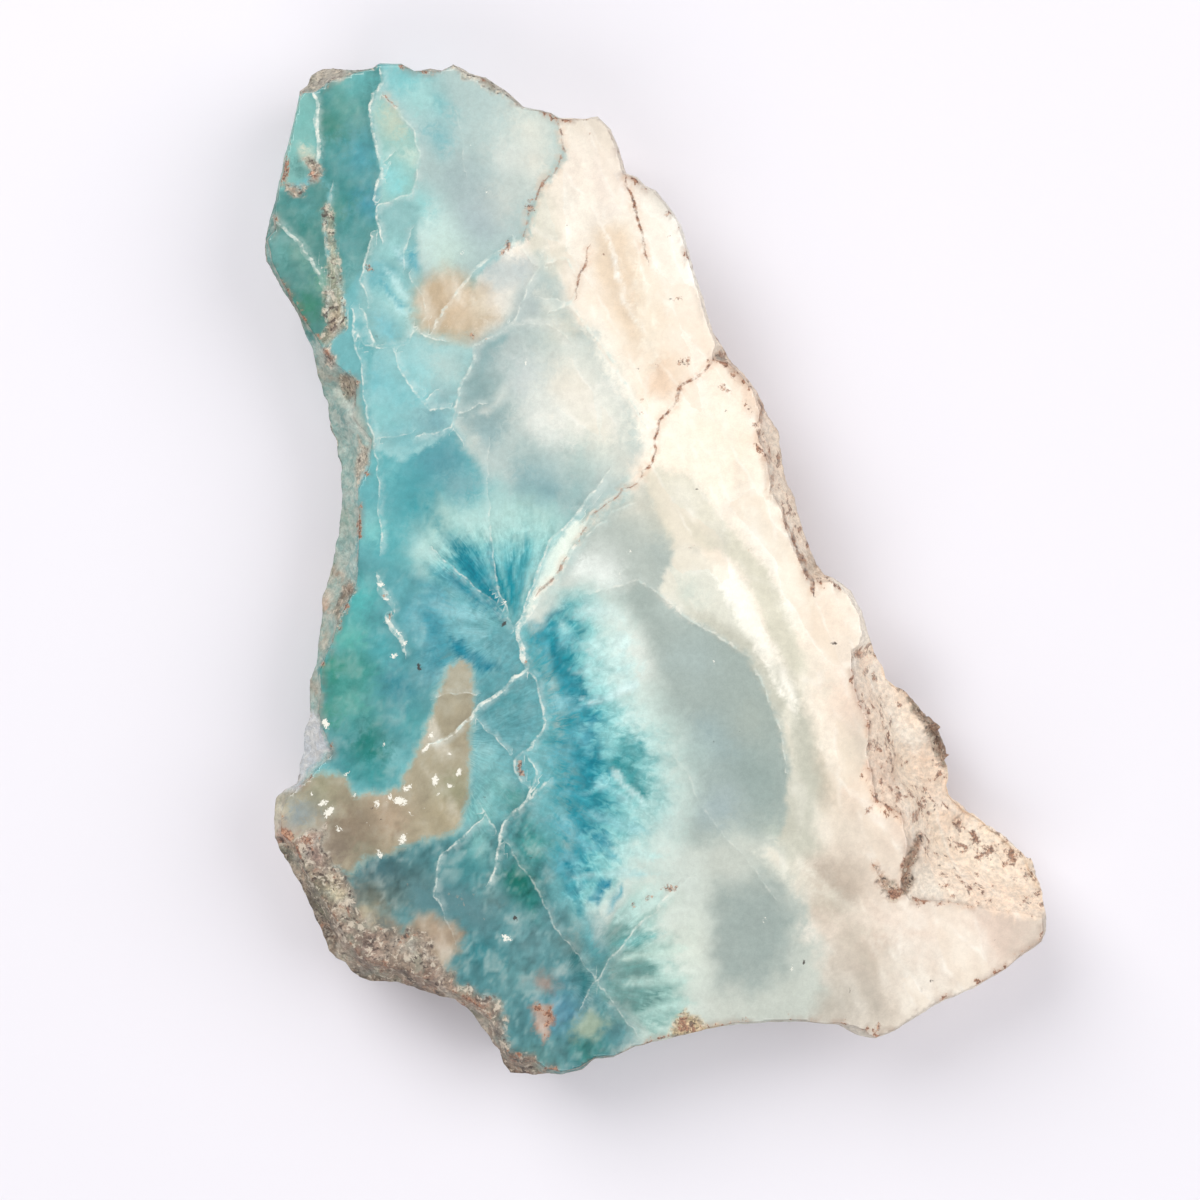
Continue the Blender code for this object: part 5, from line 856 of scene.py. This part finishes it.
class Wiring:
    # short words for adding and joining shader nodes
    def __init__(self, name):
        self.material = bpy.data.materials.new(name)
        self.material.use_nodes = True
        self.tree = self.material.node_tree
        self.shader = self.tree.nodes["Principled BSDF"]

    def add(self, kind, settings=None, **inputs):
        node = self.tree.nodes.new(kind)
        for key, value in (settings or {}).items():
            setattr(node, key, value)
        for key, value in inputs.items():
            self.feed(node.inputs[key.replace("_", " ")], value)
        return node

    def feed(self, socket, value):
        if isinstance(value, bpy.types.NodeSocket):
            self.tree.links.new(value, socket)
        else:
            socket.default_value = value

    def sums(self, operation, first, second=None, third=None):
        node = self.tree.nodes.new("ShaderNodeMath")
        node.operation = operation
        for socket, value in zip(node.inputs, (first, second, third)):
            if value is not None:
                self.feed(socket, value)
        return node.outputs[0]

    def ramp(self, value, low, high, bottom=0.0, top=1.0):
        node = self.add("ShaderNodeMapRange", {"interpolation_type": "SMOOTHSTEP"}, Value=value)
        for socket, number in zip(node.inputs[1:5], (low, high, bottom, top)):
            self.feed(socket, number)
        return node.outputs[0]

    def mix(self, share, first, second, blend="MIX"):
        node = self.tree.nodes.new("ShaderNodeMix")
        node.data_type = "RGBA"
        node.blend_type = blend
        self.feed(node.inputs["Factor"], share)
        for socket, value in zip([s for s in node.inputs if s.type == "RGBA"], (first, second)):
            self.feed(socket, value)
        return [s for s in node.outputs if s.type == "RGBA"][0]

    def clouds(self, where, size, detail=3.0, rough=0.55, warp=0.0):
        return self.add("ShaderNodeTexNoise", Vector=where, Scale=1.0 / (size * mm), Detail=detail, Roughness=rough, Distortion=warp).outputs[0]

    def parts(self, name):
        # the numbers kept under this name
        kept = self.add("ShaderNodeAttribute", {"attribute_name": name})
        return [*self.add("ShaderNodeSeparateXYZ", Vector=kept.outputs["Vector"]).outputs, kept.outputs["Alpha"]]

    def scaled(self, colour, amount):
        return self.add("ShaderNodeVectorMath", {"operation": "SCALE"}, Vector=colour, Scale=amount).outputs[0]

    def paint(self, colour):
        return (*[float(c) for c in linear(colour)], 1.0)


def stoneMaterial(name, kind):
    # kind is "polished", "broken" or "sawn"
    w = Wiring(name)
    place = w.add("ShaderNodeTexCoord").outputs["Object"]
    crumbs, specks = w.parts("rock")[:2]

    # fibres that fan out finer than the points of the mesh
    angle, reach, show, cream = w.parts("fibres")
    run = w.add("ShaderNodeCombineXYZ", X=w.sums("MULTIPLY", angle, 30.0), Y=w.sums("MULTIPLY", reach, 0.8))
    streaks = w.add("ShaderNodeTexNoise", {"noise_dimensions": "2D"}, Vector=run.outputs[0], Scale=1.0, Detail=4.0, Roughness=0.6, Distortion=0.5).outputs[0]
    plain = w.ramp(w.clouds(place, 0.8, 4.0, 0.65, 0.8), 0.38, 0.62)
    woven = w.sums("MULTIPLY_ADD", w.sums("SUBTRACT", w.ramp(streaks, 0.36, 0.64), plain), show, plain)
    tints = [w.add("ShaderNodeAttribute", {"attribute_name": name}).outputs["Color"] for name in ("tint", "tintBeyond")]
    colour = w.mix(woven, *tints)
    crinkle = w.ramp(w.clouds(place, 0.9, 4.0, 0.6, 1.2), 0.36, 0.64, -0.09, 0.07)
    streaks = w.sums("MULTIPLY_ADD", w.sums("ADD", w.ramp(streaks, 0.3, 0.7, -0.08, 0.07), crinkle), show, 1.0)

    # cloudy mottling and fine grain
    cloud = w.ramp(w.clouds(place, 2.4, 5.0, 0.6), 0.3, 0.7, 0.96, 1.03)
    curd = w.ramp(w.clouds(place, 0.6, 4.0, 0.6, 0.6), 0.3, 0.7, 0.965, 1.03)
    grain = w.ramp(w.clouds(place, 0.14, 2.0), 0.3, 0.7, 0.97, 1.03)
    shade = w.sums("MULTIPLY", w.sums("MULTIPLY", cloud, curd), w.sums("MULTIPLY", grain, streaks))
    colour = w.scaled(colour, shade)

    # the cream grew in sheets: each a shade of its own, with a pale seam here and there
    bent = w.add("ShaderNodeVectorMath", {"operation": "MULTIPLY_ADD"})
    w.feed(bent.inputs[0], w.add("ShaderNodeTexNoise", Vector=place, Scale=1.0 / (1.6 * mm), Detail=4.0, Roughness=0.6).outputs["Color"])
    bent.inputs[1].default_value = (1.1 * mm, 1.1 * mm, 1.1 * mm)
    w.feed(bent.inputs[2], place)
    lean = (0.0, 0.0, math.radians(slab["grainLean"]))
    grown = w.add("ShaderNodeMapping", {"vector_type": "TEXTURE"}, Vector=bent.outputs[0], Rotation=lean, Scale=(9.0 * mm, 2.8 * mm, 16.0 * mm)).outputs[0]
    sheet = w.add("ShaderNodeSeparateColor", Color=w.add("ShaderNodeTexVoronoi", Vector=grown, Scale=1.0).outputs["Color"]).outputs[0]
    seam = w.add("ShaderNodeTexVoronoi", {"feature": "DISTANCE_TO_EDGE"}, Vector=grown, Scale=1.0).outputs["Distance"]
    colour = w.mix(w.sums("MULTIPLY", w.ramp(sheet, 0.3, 1.0, 0.0, 0.42), cream), colour, w.paint((230, 214, 192)))
    seamMask = w.sums("MULTIPLY", w.ramp(seam, 0.0, 0.09, 0.32, 0.0), w.ramp(w.clouds(place, 3.0, 4.0), 0.42, 0.62))
    colour = w.mix(w.sums("MULTIPLY", seamMask, cream), colour, w.paint((255, 252, 243)))

    def lineMask(name, ragged, thin, low):
        # a broken line: how much of it shows here, and the share of its soft surroundings
        signed, gap, half, force = w.parts(name)
        uneven = w.sums("MULTIPLY_ADD", w.clouds(place, 0.4, 4.0, 0.65), ragged, -0.5 * ragged)
        within = w.sums("SUBTRACT", w.sums("MULTIPLY_ADD", half, thin, uneven), w.sums("ABSOLUTE", signed))
        patchy = w.ramp(w.clouds(place, 1.0, 3.0), 0.38, 0.60, low, 1.0)
        mask = w.sums("MULTIPLY", w.sums("MULTIPLY", w.ramp(within, -0.07, 0.08), w.ramp(gap, 0.5, 0.8, 1.0, 0.0)), force)
        around = w.sums("MULTIPLY", w.ramp(gap, 0.1, 0.9, 1.0, 0.0), w.sums("MULTIPLY", force, patchy))
        return w.sums("MULTIPLY", mask, patchy), around, signed

    veinMask, veinSoft, veinSide = lineMask("veinLine", 0.3, 0.8, 0.2)
    # painted highlight along one side of each vein and painted shadow along the other, as if the vein stood up from the
    # face
    bright = w.ramp(veinSide, -0.1, 0.15, 0.0, 0.32)
    colour = w.mix(w.sums("MULTIPLY", veinSoft, bright), colour, w.paint((226, 236, 230)))
    colour = w.scaled(colour, w.sums("MULTIPLY_ADD", w.sums("MULTIPLY", veinSoft, w.ramp(veinSide, -0.15, 0.1, 1.0, 0.0)), -0.13, 1.0))
    veinTone = w.mix(w.ramp(w.clouds(place, 0.7, 3.0), 0.42, 0.62), w.paint((240, 240, 228)), w.paint((206, 222, 214)))
    colour = w.mix(w.sums("MULTIPLY", veinMask, 0.85), colour, veinTone)
    crackMask, crackSoft, crackSide = lineMask("crackLine", 0.46, 0.7, 0.1)
    colour = w.mix(w.sums("MULTIPLY", crackSoft, 0.42), colour, w.paint((214, 176, 146)))
    crackTone = w.mix(w.ramp(w.clouds(place, 0.4, 2.0), 0.35, 0.62), w.paint((78, 50, 40)), w.paint((164, 118, 90)))
    colour = w.mix(crackMask, colour, crackTone)

    # grains caught in the stone, each a ragged cluster
    white, dark, rust = w.parts("flecks")[:3]
    ragged = w.sums("MULTIPLY_ADD", w.clouds(place, 0.22, 3.0, 0.7), 1.1, -0.62)
    colour = w.mix(w.ramp(w.sums("ADD", white, ragged), -0.03, 0.08, 0.0, 0.9), colour, w.paint((244, 242, 230)))
    rustTone = w.mix(w.ramp(w.clouds(place, 0.3, 2.0), 0.42, 0.6), w.paint((110, 68, 52)), w.paint((196, 150, 122)))
    colour = w.mix(w.ramp(w.sums("ADD", rust, ragged), -0.08, 0.2, 0.0, 0.8), colour, rustTone)
    colour = w.mix(w.ramp(w.sums("ADD", dark, w.sums("MULTIPLY", ragged, 0.5)), -0.02, 0.12, 0.0, 0.9), colour, w.paint((62, 52, 48)))

    # crumbly rock: patches of another hue, light and dark grains, and small black pits whose darkness is painted shade
    coarse = w.clouds(place, 1.3, 5.0, 0.68)
    fine = w.clouds(place, 0.30, 4.0, 0.7)
    rock = w.scaled(colour, w.sums("MULTIPLY", w.ramp(coarse, 0.36, 0.64, 0.66, 1.18), w.ramp(fine, 0.36, 0.64, 0.72, 1.2)))
    rock = w.mix(w.ramp(w.clouds(place, 2.2, 3.0, 0.6), 0.5, 0.66, 0.0, 0.4), rock, w.paint((150, 156, 138)))
    rock = w.mix(w.ramp(w.clouds(place, 0.8, 4.0, 0.65, 0.5), 0.53, 0.61, 0.0, 0.62), rock, w.paint((226, 214, 194)))
    # painted shade: near-black spots standing in for the shaded hollows of small pits
    pitShade = w.sums("MULTIPLY", w.ramp(w.clouds(place, 0.62, 3.0, 0.6), 0.55, 0.62), w.ramp(w.clouds(place, 2.4, 2.0), 0.40, 0.56, 0.2, 1.0))
    rock = w.mix(w.sums("MULTIPLY", pitShade, 0.85), rock, w.paint((66, 50, 44)))
    crumbMask = w.ramp(w.sums("ADD", crumbs, w.sums("MULTIPLY_ADD", w.clouds(place, 0.8, 4.0, 0.6), 0.9, -0.45)), 0.20, 0.66)
    colour = w.mix(crumbMask, colour, rock)

    # brown specks scattered over the broken stone, in loose swarms
    stretched = w.add("ShaderNodeMapping", Vector=place, Rotation=(0.0, 0.0, 0.6), Scale=(1.0, 0.75, 1.0)).outputs[0]
    speckNoise = w.clouds(stretched, 1.0, 6.0, 0.7, 0.2)
    swarm = w.ramp(w.clouds(place, 5.0, 2.0), 0.35, 0.62, -0.07, 0.05)
    speckLine = w.sums("ADD", w.sums("MULTIPLY_ADD", specks, 0.16, -0.70), swarm)
    speckMask = w.sums("MULTIPLY", w.ramp(w.sums("ADD", speckNoise, speckLine), 0.0, 0.035), w.ramp(specks, 0.05, 0.3))
    speckTone = w.mix(w.ramp(w.clouds(place, 0.25, 3.0), 0.38, 0.62), w.paint((92, 58, 44)), w.paint((168, 120, 94)))
    speckHalo = w.sums("MULTIPLY", w.ramp(w.sums("ADD", speckNoise, speckLine), -0.06, 0.02, 0.0, 0.35), w.ramp(specks, 0.05, 0.3))
    colour = w.mix(speckHalo, colour, w.paint((206, 168, 140)))
    colour = w.mix(w.sums("MULTIPLY", speckMask, 0.85), colour, speckTone)

    if kind == "polished":
        roughness = w.sums("MULTIPLY_ADD", crumbMask, 0.35, w.ramp(w.clouds(place, 1.4, 3.0), 0.3, 0.7, 0.16, 0.25))
        strength = w.sums("MULTIPLY_ADD", w.sums("MAXIMUM", crumbMask, crackMask), 0.5, 0.03)
        w.shader.inputs["Coat Weight"].default_value = 0.2
        w.shader.inputs["Coat Roughness"].default_value = 0.08
    else:
        frost = w.ramp(w.clouds(place, 0.9, 5.0, 0.65), 0.38, 0.62, 0.0, 0.3)
        colour = w.mix(w.sums("MULTIPLY", frost, w.ramp(crumbMask, 0.0, 1.0, 1.0, 0.4)), colour, w.paint((234, 226, 211)))
        colour = w.scaled(colour, w.ramp(w.clouds(place, 0.5, 4.0, 0.65), 0.34, 0.66, 0.86, 1.14))
        roughness = w.ramp(w.clouds(place, 0.8, 2.0), 0.3, 0.7, 0.6, 0.82)
        strength = w.sums("MULTIPLY_ADD", crumbMask, 0.3, 0.6 if kind == "broken" else 0.2)
    bump = w.add("ShaderNodeBump", Height=w.sums("ADD", fine, coarse), Distance=0.4 * mm, Strength=strength)
    w.feed(w.shader.inputs["Base Color"], colour)
    w.feed(w.shader.inputs["Roughness"], roughness)
    w.feed(w.shader.inputs["Normal"], bump.outputs[0])
    w.shader.inputs["IOR"].default_value = 1.55
    return w.material


print("colouring the stone")
colourStone(larimar)
larimar.data.materials.clear()
for name, kind in (("polishedLarimar", "polished"), ("brokenLarimar", "broken"), ("sawnLarimar", "sawn")):
    larimar.data.materials.append(stoneMaterial(name, kind))
for face in larimar.data.polygons:
    height = face.center.z / mm
    polished = face.normal.z > 0.999 and height > slab["thickness"] - 0.02
    sawn = face.normal.z < -0.999 and height < 0.02
    face.material_index = 0 if polished else 2 if sawn else 1
selectOnly(larimar)
bpy.ops.object.shade_smooth_by_angle(angle=math.radians(40.0))
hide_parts("larimar_slab")
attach(larimar, "root")

# floor, light and camera

stage = {
    "floorColour": (232, 230, 236),
    "cameraAt": (-5.6, -3.0),  # the point of the slab in the middle of the picture
    "view": 120.0,  # how much of the slab's plane the picture spans
    "lens": 85.0,
}


def stageMaterial():
    floorPaint = bpy.data.materials.new("floorPaint")
    floorPaint.use_nodes = True
    shader = floorPaint.node_tree.nodes["Principled BSDF"]
    shader.inputs["Base Color"].default_value = (*linear(stage["floorColour"]), 1.0)
    shader.inputs["Roughness"].default_value = 0.6
    return floorPaint


def softLight(name, place, size, power, colour=(1.0, 1.0, 1.0)):
    x, y, z = place
    bpy.ops.object.light_add(type="AREA", location=place)
    lamp = bpy.context.active_object
    lamp.name = name
    lamp.data.shape = "DISK"
    lamp.data.size = size
    lamp.data.energy = power
    lamp.data.color = colour
    lamp.rotation_euler = (-lamp.location).to_track_quat("-Z", "Y").to_euler()
    return lamp


print("floor, light and camera")
bpy.ops.object.select_all(action="DESELECT")
bpy.ops.mesh.primitive_plane_add(size=3.0, location=(0.0, 0.0, 0.0))
floor = bpy.context.active_object
floor.name = "floor"
floor.data.materials.append(stageMaterial())
softLight("keyLight", (-0.40, 0.50, 0.62), 0.7, 5.1, (1.0, 0.99, 0.97))
softLight("sideLight", (0.55, 0.10, 0.55), 0.7, 2.9, (1.0, 0.99, 0.98))
softLight("lowLight", (-0.15, -0.60, 0.52), 0.7, 2.3, (1.0, 0.98, 0.97))

sky = bpy.data.worlds.new("studio")
sky.use_nodes = True
sky.node_tree.nodes["Background"].inputs["Color"].default_value = (0.97, 0.96, 1.0, 1.0)
sky.node_tree.nodes["Background"].inputs["Strength"].default_value = 0.35
bpy.context.scene.world = sky
bpy.context.scene.view_settings.view_transform = "Standard"

bpy.ops.object.camera_add(location=(0.0, 0.0, 1.0))
camera = bpy.context.active_object
camera.name = "camera"
camera.data.lens = stage["lens"]
camera.data.sensor_width = 36.0
x, y = stage["cameraAt"]
camera.location = (x * mm, y * mm, (slab["thickness"] + stage["view"] * stage["lens"] / camera.data.sensor_width) * mm)
camera.rotation_euler = (0.0, 0.0, 0.0)
camera.data.clip_start = 0.01
bpy.context.scene.camera = camera
